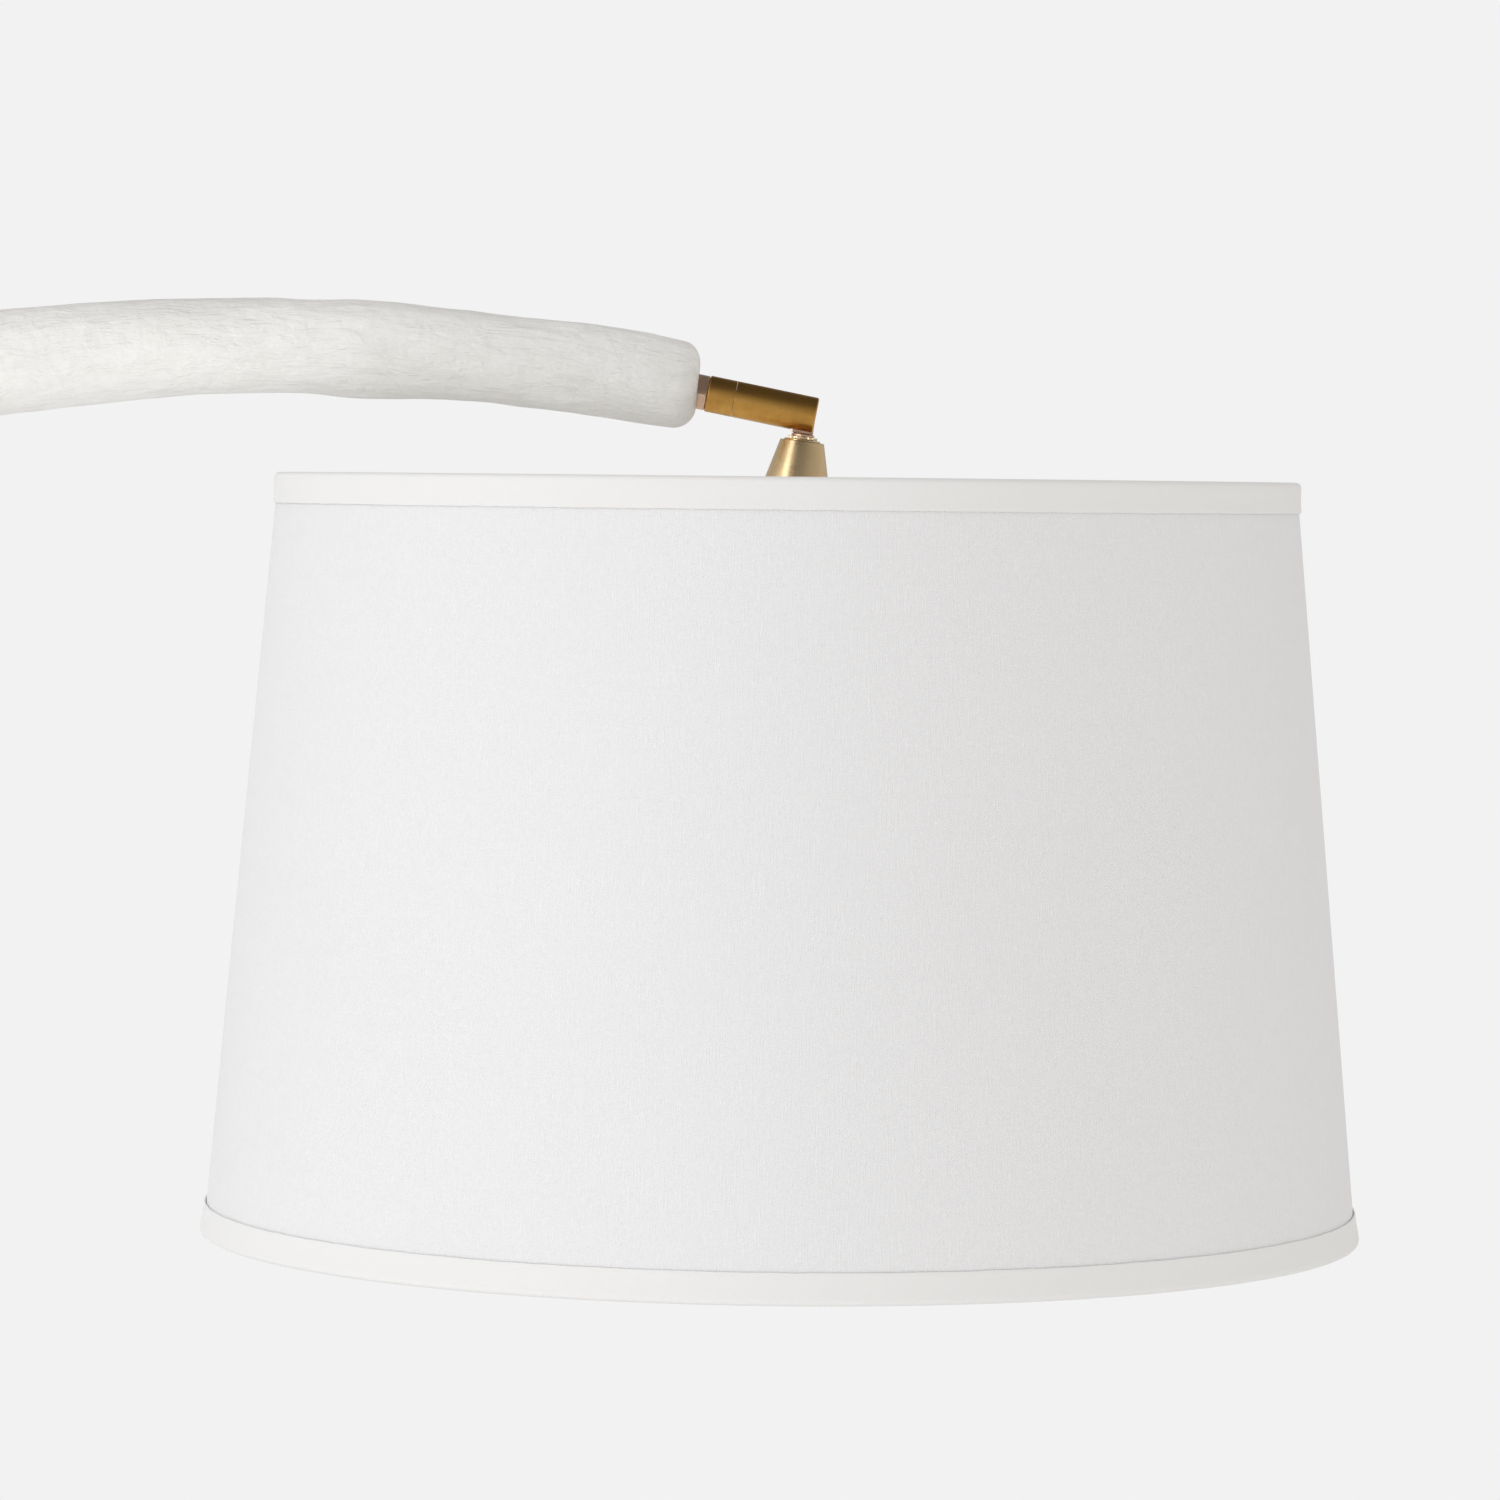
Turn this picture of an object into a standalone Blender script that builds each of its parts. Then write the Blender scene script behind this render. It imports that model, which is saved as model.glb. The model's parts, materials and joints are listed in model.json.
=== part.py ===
"""Arc floor lamp: a plaster-coated post and arm, a brass swivel, and a tapered drum shade.

Metres, +Z up. The origin is on the floor at the centre of the base, and +X points along the
arm towards the shade. Three things move: the barrel turns about its own line, the head tilts
on the knuckle's pin, and the switch knob turns in the socket cup.
"""

from math import atan2, cos, pi, radians, sin, sqrt

import bmesh
import bpy
from mathutils import Matrix, Vector

MM = 0.001
GAP = 0.3 * MM  # clearance that neighbouring pieces keep

# --- driving dimensions: base -------------------------------------------------------------
BASE_RADIUS = 191 * MM
BASE_TOP = 58 * MM
FELT_RADIUS = 180 * MM
FELT_THICKNESS = 3 * MM
WEIGHT_RADIUS = 160 * MM
WEIGHT_HEIGHT = 32 * MM
WEIGHT_BORE = 16 * MM
CAVITY_RADIUS = 172 * MM
CAVITY_TOP = 45.5 * MM
FLANGE_RADIUS = 45 * MM
FLANGE_THICKNESS = 6 * MM
FLANGE_SCREW_CIRCLE = 33 * MM
FLANGE_SCREW_RADIUS = 3 * MM
SPIGOT_RADIUS = 10.8 * MM
SPIGOT_LENGTH = 60 * MM
LEAD_BORE = 4.5 * MM
GLAND_HEIGHT = 11.5 * MM
GLAND_RADIUS = 5.5 * MM
GROOVE_WIDTH = 12 * MM

# --- driving dimensions: post and arm -----------------------------------------------------
TUBE_RADIUS = 12.7 * MM
TUBE_BORE = 11.2 * MM
COAT_BORE = 13.3 * MM
SEAM_Z = 930 * MM
POST_TOP = 1060 * MM
SHOULDER_RADIUS = 770 * MM
CROWN_RADIUS = 880 * MM
TIP_RADIUS = 950 * MM
CROWN_ANGLE = radians(10)
TIP_SLOPE = radians(11.13)
# how far along the arm, and the coat's radius there
ARM_COAT = ((0.0, 26.5 * MM), (0.80, 22.8 * MM), (0.90, 20.6 * MM), (1.0, 19.9 * MM))
POST_COAT = ((0.0, 33.0 * MM), (0.03, 30.0 * MM), (0.10, 29.0 * MM), (1.0, 26.5 * MM))
JOINT_RING_RADIUS = 28 * MM
JOINT_RING_HEIGHT = 6 * MM
SLEEVE_RADIUS = 10.8 * MM
SLEEVE_BORE = 9 * MM
SLEEVE_LENGTH = 120 * MM
SET_SCREW_Z = 965 * MM
SET_SCREW_RADIUS = 2.5 * MM
ARM_END_WALL = 8 * MM

# --- driving dimensions: swivel; b is the distance along the barrel from the collar's end ---
COLLAR_TO_ARM = 6.2 * MM
BARREL_RADIUS = 8 * MM
COLLAR_LENGTH = 12 * MM
BARREL_END = 48.7 * MM
PIVOT_B = 44.2 * MM
NUT_APOTHEM = 7.3 * MM
BUSHING_RADIUS = 9.8 * MM
BUSHING_LENGTH = 16 * MM
NIPPLE_RADIUS = 4.8 * MM
NIPPLE_BORE = 3 * MM
SPINDLE_RADIUS = 4 * MM
SPINDLE_BORE = 2.4 * MM
BARREL_BORE = 6.3 * MM
BORE_START = 15 * MM
BORE_END = 36 * MM
SLOT_WIDTH = 5 * MM
PIN_RADIUS = 1.5 * MM

# --- driving dimensions: head; d is the distance down the head's axis from the pivot pin ----
HEAD_LEAN = radians(7)
TONGUE_WIDTH = 9.9 * MM
TONGUE_THICKNESS = SLOT_WIDTH - 2 * GAP
STUD_RADIUS = 4.6 * MM
STUD_BORE = 2.6 * MM
CUP_TOP = 11.4 * MM
CUP_BOTTOM = 57 * MM
CUP_TOP_RADIUS = 9.9 * MM
CUP_BOTTOM_RADIUS = 20.9 * MM
CUP_BOSS_RADIUS = 7.9 * MM
CUP_WALL = 1.2 * MM
CUP_SHOULDER = 1.2 * MM  # from the boss's top down to the cup's brim
SKIRT_RADIUS = 19.2 * MM
SKIRT_END = 80 * MM
SWITCH_D = 42 * MM
BULB_RADIUS = 30 * MM
BULB_CENTRE = 130 * MM

# --- driving dimensions: shade; heights are measured from its top rim -----------------------
SHADE_TOP_RADIUS = 222.9 * MM
SHADE_BOTTOM_RADIUS = 254.0 * MM
SHADE_HEIGHT = 333.4 * MM
PIVOT_ABOVE_RIM = 28 * MM
FABRIC_THICKNESS = 0.6 * MM
LINER_THICKNESS = 0.8 * MM
RIM_FOLD = 2 * MM
WIRE_RADIUS = 1.6 * MM
WIRE_INSET = 3.8 * MM
HUB_HOLE = 20.7 * MM
HUB_RADIUS = 25 * MM
HUB_THICKNESS = 1.2 * MM
SPIDER_ANGLES = (60, 180, 300)

# --- mesh fineness --------------------------------------------------------------------------
SIDES_BASE = 48
SIDES_SHADE = 48
SIDES_ARM = 16
SIDES_SMALL = 24
SIDES_SCREW = 12

# colour, roughness and metallic value of each finish
FINISHES = {
    "plaster": ((0.83, 0.81, 0.77), 0.55, 0.0),
    "linen": ((0.87, 0.86, 0.84), 0.9, 0.0),
    "tape": ((0.86, 0.84, 0.80), 0.85, 0.0),
    "liner": ((0.92, 0.92, 0.91), 0.45, 0.0),
    "brass": ((0.72, 0.52, 0.26), 0.28, 1.0),
    "pale_brass": ((0.80, 0.67, 0.45), 0.3, 1.0),
    "steel": ((0.55, 0.55, 0.56), 0.35, 1.0),
    "white_wire": ((0.85, 0.85, 0.84), 0.4, 0.0),
    "iron": ((0.10, 0.10, 0.105), 0.7, 1.0),
    "felt": ((0.16, 0.15, 0.14), 1.0, 0.0),
    "phenolic": ((0.03, 0.03, 0.03), 0.4, 0.0),
    "frosted_glass": ((0.95, 0.95, 0.93), 0.35, 0.0),
    "cord_jacket": ((0.80, 0.76, 0.68), 0.5, 0.0),
}


# --- scene helpers --------------------------------------------------------------------------
def clear_scene():
    """Start from an empty scene."""
    for old in list(bpy.data.objects):
        bpy.data.objects.remove(old, do_unlink=True)


def material(name, finish):
    """A Principled material of its own for one sub-part."""
    colour, roughness, metallic = FINISHES[finish]
    made = bpy.data.materials.new(name + "_finish")
    made.use_nodes = True
    shader = made.node_tree.nodes["Principled BSDF"]
    shader.inputs["Base Color"].default_value = (*colour, 1.0)
    shader.inputs["Roughness"].default_value = roughness
    shader.inputs["Metallic"].default_value = metallic
    made.diffuse_color = (*colour, 1.0)
    return made


def axis_empty(name, location, rotation, parent=None):
    """An empty that marks an axis; the pieces that belong to it are its children."""
    empty = bpy.data.objects.new(name, None)
    empty.empty_display_size = 0.02
    empty.location = location
    empty.rotation_euler = rotation
    bpy.context.collection.objects.link(empty)
    if parent is not None:
        bpy.context.view_layer.update()
        empty.parent = parent
        empty.matrix_parent_inverse = parent.matrix_world.inverted()
    bpy.context.view_layer.update()
    return empty


def add_object(name, bm, finish, parent=None, location=(0, 0, 0)):
    """Turn a bmesh into a smooth-shaded object of one sub-part."""
    bmesh.ops.remove_doubles(bm, verts=bm.verts, dist=1e-6)
    bmesh.ops.recalc_face_normals(bm, faces=bm.faces)
    mesh = bpy.data.meshes.new(name)
    bm.to_mesh(mesh)
    bm.free()
    mesh.shade_smooth()
    mesh.set_sharp_from_angle(angle=radians(35))
    mesh.materials.append(material(name, finish))
    piece = bpy.data.objects.new(name, mesh)
    piece.location = location
    piece.parent = parent
    bpy.context.collection.objects.link(piece)
    return piece


def turned(name, outline, sides, finish, parent=None, location=(0, 0, 0), closed=True):
    """Spin an outline of (radius, height) points about the local Z axis.

    A closed outline makes a ring or a tube. An open one starts and ends on the axis.
    """
    bm = bmesh.new()
    verts = [bm.verts.new((radius, 0, height)) for radius, height in outline]
    edges = [bm.edges.new(pair) for pair in zip(verts, verts[1:])]
    if closed:
        edges.append(bm.edges.new((verts[-1], verts[0])))
    bmesh.ops.spin(
        bm, geom=verts + edges, cent=(0, 0, 0), axis=(0, 0, 1), angle=2 * pi, steps=sides, use_merge=True
    )
    return add_object(name, bm, finish, parent, location)


def lofted(name, rings, finish, parent=None, location=(0, 0, 0), closed=True):
    """Skin a stack of rings of equal count. A closed stack joins its last ring to its first."""
    bm = bmesh.new()
    loops = [[bm.verts.new(point) for point in ring] for ring in rings]
    pairs = list(zip(loops, loops[1:]))
    if closed:
        pairs.append((loops[-1], loops[0]))
    else:
        bm.faces.new(loops[0])
        bm.faces.new(list(reversed(loops[-1])))
    count = len(loops[0])
    for near, far in pairs:
        for i in range(count):
            j = (i + 1) % count
            bm.faces.new((near[i], near[j], far[j], far[i]))
    return add_object(name, bm, finish, parent, location)


def cylinder_cutter(name, radius, start, end, parent=None, sides=SIDES_SCREW):
    """A round guide between two points, which cuts a hole and isn't part of the lamp."""
    start = Vector(start)
    line = Vector(end) - start
    bm = bmesh.new()
    turn = line.to_track_quat("Z", "Y").to_matrix().to_4x4()
    half_step = Matrix.Rotation(pi / sides, 4, "Z")
    place = Matrix.Translation(start + line / 2) @ turn @ half_step
    bmesh.ops.create_cone(
        bm, cap_ends=True, segments=sides, radius1=radius, radius2=radius, depth=line.length, matrix=place
    )
    return guide(name, bm, parent)


def box_cutter(name, low, high, parent=None):
    """A box-shaped guide between two corners."""
    low, high = Vector(low), Vector(high)
    bm = bmesh.new()
    size = Matrix.Diagonal((*(high - low), 1.0))
    bmesh.ops.create_cube(bm, size=1.0, matrix=Matrix.Translation((low + high) / 2) @ size)
    return guide(name, bm, parent)


def guide(name, bm, parent):
    """Finish a cutter: seen as wire, and never rendered."""
    mesh = bpy.data.meshes.new(name)
    bm.to_mesh(mesh)
    bm.free()
    cutter = bpy.data.objects.new(name, mesh)
    cutter.parent = parent
    cutter.hide_render = True
    cutter.display_type = "WIRE"
    bpy.context.collection.objects.link(cutter)
    return cutter


def cut(target, *cutters):
    """Cut each guide out of a sub-part."""
    for cutter in cutters:
        boolean = target.modifiers.new(cutter.name, "BOOLEAN")
        boolean.operation = "DIFFERENCE"
        boolean.solver = "EXACT"
        boolean.object = cutter


def rod(name, points, radius, finish, parent=None, resolution=2):
    """A round rod or cable along a list of points, as a bevelled curve with filled ends."""
    curve = bpy.data.curves.new(name, "CURVE")
    curve.dimensions = "3D"
    curve.resolution_u = 1
    curve.render_resolution_u = 0
    curve.bevel_depth = radius
    curve.bevel_resolution = resolution
    curve.use_fill_caps = True
    spline = curve.splines.new("POLY")
    spline.points.add(len(points) - 1)
    for target, point in zip(spline.points, points):
        target.co = (*point, 1.0)
    curve.materials.append(material(name, finish))
    piece = bpy.data.objects.new(name, curve)
    piece.parent = parent
    bpy.context.collection.objects.link(piece)
    return piece


# --- geometry helpers -----------------------------------------------------------------------
def circle_ring(radius, height, sides=SIDES_SMALL, phase=0.0):
    """A level ring of points about the local Z axis."""
    angles = [phase + 2 * pi * i / sides for i in range(sides)]
    return [Vector((radius * cos(a), radius * sin(a), height)) for a in angles]


def hexagon_ring(apothem, limit, height):
    """A ring on a hexagon with corners on its Y axis, rounded off at the limit radius."""
    ring = []
    for i in range(SIDES_SMALL):
        angle = 2 * pi * i / SIDES_SMALL
        across = apothem / cos((angle + pi / 6) % (pi / 3) - pi / 6)
        radius = min(across, limit)
        ring.append(Vector((radius * cos(angle), radius * sin(angle), height)))
    return ring


def slab_ring(width, thickness, height):
    """A rectangle of SIDES_SMALL points that lines up with circle_ring at half a step of phase."""
    corners = ((1, 1, 1), (10, -1, 1), (13, -1, -1), (22, 1, -1))
    ring = [None] * SIDES_SMALL
    for (first, x0, y0), (last, x1, y1) in zip(corners, corners[1:] + corners[:1]):
        span = (last - first) % SIDES_SMALL
        for step in range(span):
            part = step / span
            x = (x0 + (x1 - x0) * part) * width / 2
            y = (y0 + (y1 - y0) * part) * thickness / 2
            ring[(first + step) % SIDES_SMALL] = Vector((x, y, height))
    return ring


def along(table, part):
    """Read a value from a short table of (part, value) stops, with a straight line between them."""
    for (start, low), (end, high) in zip(table, table[1:]):
        if part <= end:
            t = (part - start) / (end - start)
            return low + (high - low) * t
    return table[-1][1]


def smooth_route(points, steps):
    """A Catmull-Rom curve through a route's own points."""
    knots = [points[0] * 2 - points[1], *points, points[-1] * 2 - points[-2]]
    route = []
    for p0, p1, p2, p3 in zip(knots, knots[1:], knots[2:], knots[3:]):
        for step in range(steps):
            t = step / steps
            cubic = (3 * p1 - p0 - 3 * p2 + p3) * t ** 3
            square = (2 * p0 - 5 * p1 + 4 * p2 - p3) * t ** 2
            route.append(0.5 * (2 * p1 + (p2 - p0) * t + square + cubic))
    route.append(points[-1])
    return route


# --- the arm's centre line ------------------------------------------------------------------
def arm_line():
    """Stations from the seam to the arm's end: (point, heading, distance from the seam)."""
    stations = [(Vector((0, 0, SEAM_Z)), pi / 2, 0.0), (Vector((0, 0, POST_TOP)), pi / 2, POST_TOP - SEAM_Z)]
    bends = (
        (SHOULDER_RADIUS, pi / 2 - CROWN_ANGLE, 14),
        (CROWN_RADIUS, CROWN_ANGLE, 2),
        (TIP_RADIUS, TIP_SLOPE, 3),
    )
    for radius, angle, steps in bends:
        for _ in range(steps):
            point, heading, distance = stations[-1]
            turn = angle / steps
            chord = 2 * radius * sin(turn / 2)
            middle = heading - turn / 2
            step = Vector((chord * cos(middle), 0, chord * sin(middle)))
            stations.append((point + step, heading - turn, distance + radius * turn))
    return stations


def arm_ring(point, heading, radius, sides=SIDES_ARM):
    """A ring square to the arm's centre line."""
    side = Vector((0, 1, 0))
    up = Vector((-sin(heading), 0, cos(heading)))
    angles = [2 * pi * i / sides for i in range(sides)]
    return [point + side * (radius * cos(a)) + up * (radius * sin(a)) for a in angles]


ARM_STATIONS = arm_line()
ARM_END, _, ARM_LENGTH = ARM_STATIONS[-1]
BARREL_LINE = Vector((cos(TIP_SLOPE), 0, -sin(TIP_SLOPE)))
COLLAR_START = ARM_END + BARREL_LINE * COLLAR_TO_ARM
PIVOT = COLLAR_START + BARREL_LINE * PIVOT_B
HEAD_LINE = Vector((-sin(HEAD_LEAN), 0, -cos(HEAD_LEAN)))
SHADE_RIM_Z = PIVOT.z - PIVOT_ABOVE_RIM
HUB_D = 64 * MM  # where the head's axis meets the shade's
HUB_CENTRE = PIVOT + HEAD_LINE * HUB_D
SHADE_TOP = Vector((HUB_CENTRE.x, 0, SHADE_RIM_Z))


# --- base -----------------------------------------------------------------------------------
def felt_pad():
    """The felt disc that the lamp stands on."""
    outline = [(0, 0), (FELT_RADIUS, 0), (FELT_RADIUS, FELT_THICKNESS), (0, FELT_THICKNESS)]
    turned("felt_pad", outline, SIDES_BASE, "felt", closed=False)


def screw_places():
    """Centres of the flange's three screws, seen from above."""
    return [(FLANGE_SCREW_CIRCLE * cos(a), FLANGE_SCREW_CIRCLE * sin(a)) for a in (0, 2 * pi / 3, 4 * pi / 3)]


def base_weight():
    """The cast-iron weight, with a lead groove underneath and blind holes for the screws."""
    low = FELT_THICKNESS + GAP
    top = low + WEIGHT_HEIGHT
    edge = 3 * MM
    outline = [
        (WEIGHT_BORE, top),
        (WEIGHT_RADIUS - edge, top),
        (WEIGHT_RADIUS, top - edge),
        (WEIGHT_RADIUS, low),
        (WEIGHT_BORE, low),
    ]
    weight = turned("base_weight", outline, SIDES_BASE, "iron")
    groove_top = 2 * GLAND_HEIGHT - low
    groove = box_cutter(
        "lead_groove", (-WEIGHT_RADIUS - edge, -GROOVE_WIDTH / 2, 0), (0, GROOVE_WIDTH / 2, groove_top)
    )
    cut(weight, groove)
    for i, (x, y) in enumerate(screw_places()):
        start = (x, y, top - 16 * MM)
        cut(weight, cylinder_cutter(f"weight_hole_{i + 1}", FLANGE_SCREW_RADIUS + GAP, start, (x, y, top + edge)))
    return top


def base_cover():
    """The thick plaster cover over the weight, open underneath."""
    low = FELT_THICKNESS + GAP
    shoulder = 16 * MM
    outline = [(COAT_BORE + GAP, BASE_TOP), (BASE_RADIUS * 0.6, BASE_TOP - 0.4 * MM)]
    for i in range(7):
        angle = pi / 2 - pi / 2 * i / 6
        reach = BASE_RADIUS - shoulder * 1.5 + shoulder * 1.5 * cos(angle)
        outline.append((reach, BASE_TOP - 2 * MM - shoulder + shoulder * sin(angle)))
    outline += [
        (BASE_RADIUS - 1 * MM, 14 * MM),
        (BASE_RADIUS - 5 * MM, low),
        (CAVITY_RADIUS, low),
        (CAVITY_RADIUS, CAVITY_TOP),
        (COAT_BORE + GAP, CAVITY_TOP),
    ]
    cover = turned("base_cover", outline, SIDES_BASE, "plaster")
    start = (-CAVITY_RADIUS + 4 * MM, 0, GLAND_HEIGHT)
    end = (-BASE_RADIUS - 4 * MM, 0, GLAND_HEIGHT)
    cut(cover, cylinder_cutter("gland_hole", GLAND_RADIUS + GAP, start, end, sides=SIDES_SMALL))


def cord_gland():
    """The gland where the cord enters the back of the base, and the nut behind the wall."""
    bore = 3.2 * MM
    rear = axis_empty("gland_axis", (-BASE_RADIUS, 0, GLAND_HEIGHT), (0, -pi / 2, 0))
    # heights run outwards from the wall's outer face
    reach = BASE_RADIUS - CAVITY_RADIUS
    outline = [
        (bore, 6 * MM),
        (5 * MM, 6 * MM),
        (7.6 * MM, 3.5 * MM),
        (7.6 * MM, GAP),
        (GLAND_RADIUS, GAP),
        (GLAND_RADIUS, -reach - 7 * MM),
        (bore, -reach - 7 * MM),
    ]
    turned("cord_gland", outline, SIDES_SMALL, "brass", rear)
    thickness = 4.5 * MM
    corner = 7.7 * MM
    near = -reach - 1.2 * MM
    hole = GLAND_RADIUS + GAP
    apothem = 7 * MM
    rings = [
        hexagon_ring(apothem, corner, near),
        hexagon_ring(apothem, corner, near - thickness),
        circle_ring(hole, near - thickness),
        circle_ring(hole, near),
    ]
    lofted("gland_nut", rings, "steel", rear)


def post_flange(weight_top):
    """The steel flange screwed to the weight; its spigot stands up inside the post's tube."""
    low = weight_top + GAP
    top = low + FLANGE_THICKNESS
    outline = [
        (LEAD_BORE, top + SPIGOT_LENGTH),
        (SPIGOT_RADIUS - 1 * MM, top + SPIGOT_LENGTH),
        (SPIGOT_RADIUS, top + SPIGOT_LENGTH - 1.5 * MM),
        (SPIGOT_RADIUS, top),
        (FLANGE_RADIUS, top),
        (FLANGE_RADIUS, low),
        (LEAD_BORE, low),
    ]
    flange = turned("post_flange", outline, SIDES_SMALL, "steel")
    for i, (x, y) in enumerate(screw_places()):
        start = (x, y, low - 2 * MM)
        end = (x, y, top + 2 * MM)
        cut(flange, cylinder_cutter(f"flange_hole_{i + 1}", FLANGE_SCREW_RADIUS + GAP, start, end))
    return top


def flange_screws(flange_top):
    """Three cap screws that hold the flange to the weight."""
    head = 5 * MM
    socket = 2.2 * MM
    outline = [
        (0, flange_top + 1.5 * MM),
        (socket, flange_top + 1.5 * MM),
        (socket, flange_top + 3 * MM),
        (head, flange_top + 3 * MM),
        (head, flange_top + GAP),
        (FLANGE_SCREW_RADIUS, flange_top + GAP),
        (FLANGE_SCREW_RADIUS, flange_top - 20 * MM),
        (0, flange_top - 20 * MM),
    ]
    for i, (x, y) in enumerate(screw_places()):
        turned(f"flange_screw_{i + 1}", outline, SIDES_SCREW, "steel", location=(x, y, 0), closed=False)


# --- post and arm ---------------------------------------------------------------------------
def post_tube(flange_top):
    """The steel tube inside the post."""
    low = flange_top + GAP
    top = SEAM_Z - GAP / 2
    outline = [(TUBE_BORE, top), (TUBE_RADIUS, top), (TUBE_RADIUS, low), (TUBE_BORE, low)]
    turned("post_tube", outline, SIDES_SMALL, "steel")


def post_coat():
    """The plaster coat round the post, flared where it stands on the base."""
    low = BASE_TOP + GAP
    top = SEAM_Z - JOINT_RING_HEIGHT / 2 - GAP
    stops = (0.0, 0.012, 0.03, 0.10, 0.40, 0.70, 1.0)
    outline = [(along(POST_COAT, part), low + (top - low) * part) for part in reversed(stops)]
    outline += [(COAT_BORE, low), (COAT_BORE, top)]
    turned("post_coat", outline, SIDES_SMALL, "plaster")


def joint_ring():
    """The slim brass ring that covers the seam where the arm plugs onto the post."""
    edge = 1 * MM
    half = JOINT_RING_HEIGHT / 2
    outline = [
        (TUBE_RADIUS + GAP, half),
        (JOINT_RING_RADIUS - edge, half),
        (JOINT_RING_RADIUS, half - edge),
        (JOINT_RING_RADIUS, edge - half),
        (JOINT_RING_RADIUS - edge, -half),
        (TUBE_RADIUS + GAP, -half),
    ]
    turned("joint_ring", outline, SIDES_SMALL, "brass", location=(0, 0, SEAM_Z))


def coupling_sleeve():
    """The steel sleeve inside both tubes, which carries the arm on the post."""
    half = SLEEVE_LENGTH / 2
    outline = [(SLEEVE_BORE, half), (SLEEVE_RADIUS, half), (SLEEVE_RADIUS, -half), (SLEEVE_BORE, -half)]
    turned("coupling_sleeve", outline, SIDES_SMALL, "steel", location=(0, 0, SEAM_Z))


def set_screw():
    """The grub screw at the back of the arm that locks it on the sleeve."""
    back = axis_empty("set_screw_axis", (-SLEEVE_RADIUS - GAP, 0, SET_SCREW_Z), (0, -pi / 2, 0))
    length = 10 * MM
    socket = 1.3 * MM
    outline = [
        (0, length - 3 * MM),
        (socket, length - 3 * MM),
        (socket, length),
        (SET_SCREW_RADIUS, length),
        (SET_SCREW_RADIUS, 1 * MM),
        (SET_SCREW_RADIUS - 1 * MM, 0),
        (0, 0),
    ]
    turned("set_screw", outline, SIDES_SCREW, "steel", back, closed=False)


def set_screw_hole(name):
    """The hole that the grub screw passes through."""
    start = (-TUBE_BORE + 2 * MM, 0, SET_SCREW_Z)
    return cylinder_cutter(name, SET_SCREW_RADIUS + GAP, start, (-36 * MM, 0, SET_SCREW_Z))


def tube_stations():
    """The arm's stations, started just above the seam and stopped short of the end wall."""
    first = (Vector((0, 0, SEAM_Z + GAP / 2)), pi / 2, 0.0)
    point, heading, distance = ARM_STATIONS[-1]
    last = (point - BARREL_LINE * (ARM_END_WALL + GAP), heading, distance)
    return [first, *ARM_STATIONS[1:-1], last]


def arm_tube():
    """The bent steel tube inside the arm."""
    stations = tube_stations()
    outer = [arm_ring(point, heading, TUBE_RADIUS) for point, heading, _ in stations]
    inner = [arm_ring(point, heading, TUBE_BORE) for point, heading, _ in reversed(stations)]
    tube = lofted("arm_tube", outer + inner, "steel")
    cut(tube, set_screw_hole("tube_screw_hole"))


def arm_coat():
    """The plaster coat round the arm, closed at its end round the nipple's hole."""
    seam = (Vector((0, 0, SEAM_Z + JOINT_RING_HEIGHT / 2 + GAP)), pi / 2, 0.0)
    stations = [seam, *ARM_STATIONS[1:-1]]
    outer = [arm_ring(point, heading, along(ARM_COAT, far / ARM_LENGTH)) for point, heading, far in stations]
    end_radius = ARM_COAT[-1][1]
    # how far before the end face, and how much smaller, the rounded end's rings are
    for back, shrink in ((8 * MM, 0), (3.6 * MM, 1.2 * MM), (1.1 * MM, 3.6 * MM), (0, 7.2 * MM)):
        outer.append(arm_ring(ARM_END - BARREL_LINE * back, -TIP_SLOPE, end_radius - shrink))
    hole = NIPPLE_RADIUS + 2 * GAP
    wall = ARM_END - BARREL_LINE * ARM_END_WALL
    inner = [
        arm_ring(ARM_END, -TIP_SLOPE, hole),
        arm_ring(wall, -TIP_SLOPE, hole),
        arm_ring(wall, -TIP_SLOPE, COAT_BORE),
    ]
    inner += [arm_ring(point, heading, COAT_BORE) for point, heading, _ in reversed(stations)]
    coat = lofted("arm_coat", outer + inner, "plaster")
    cut(coat, set_screw_hole("coat_screw_hole"))


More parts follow.
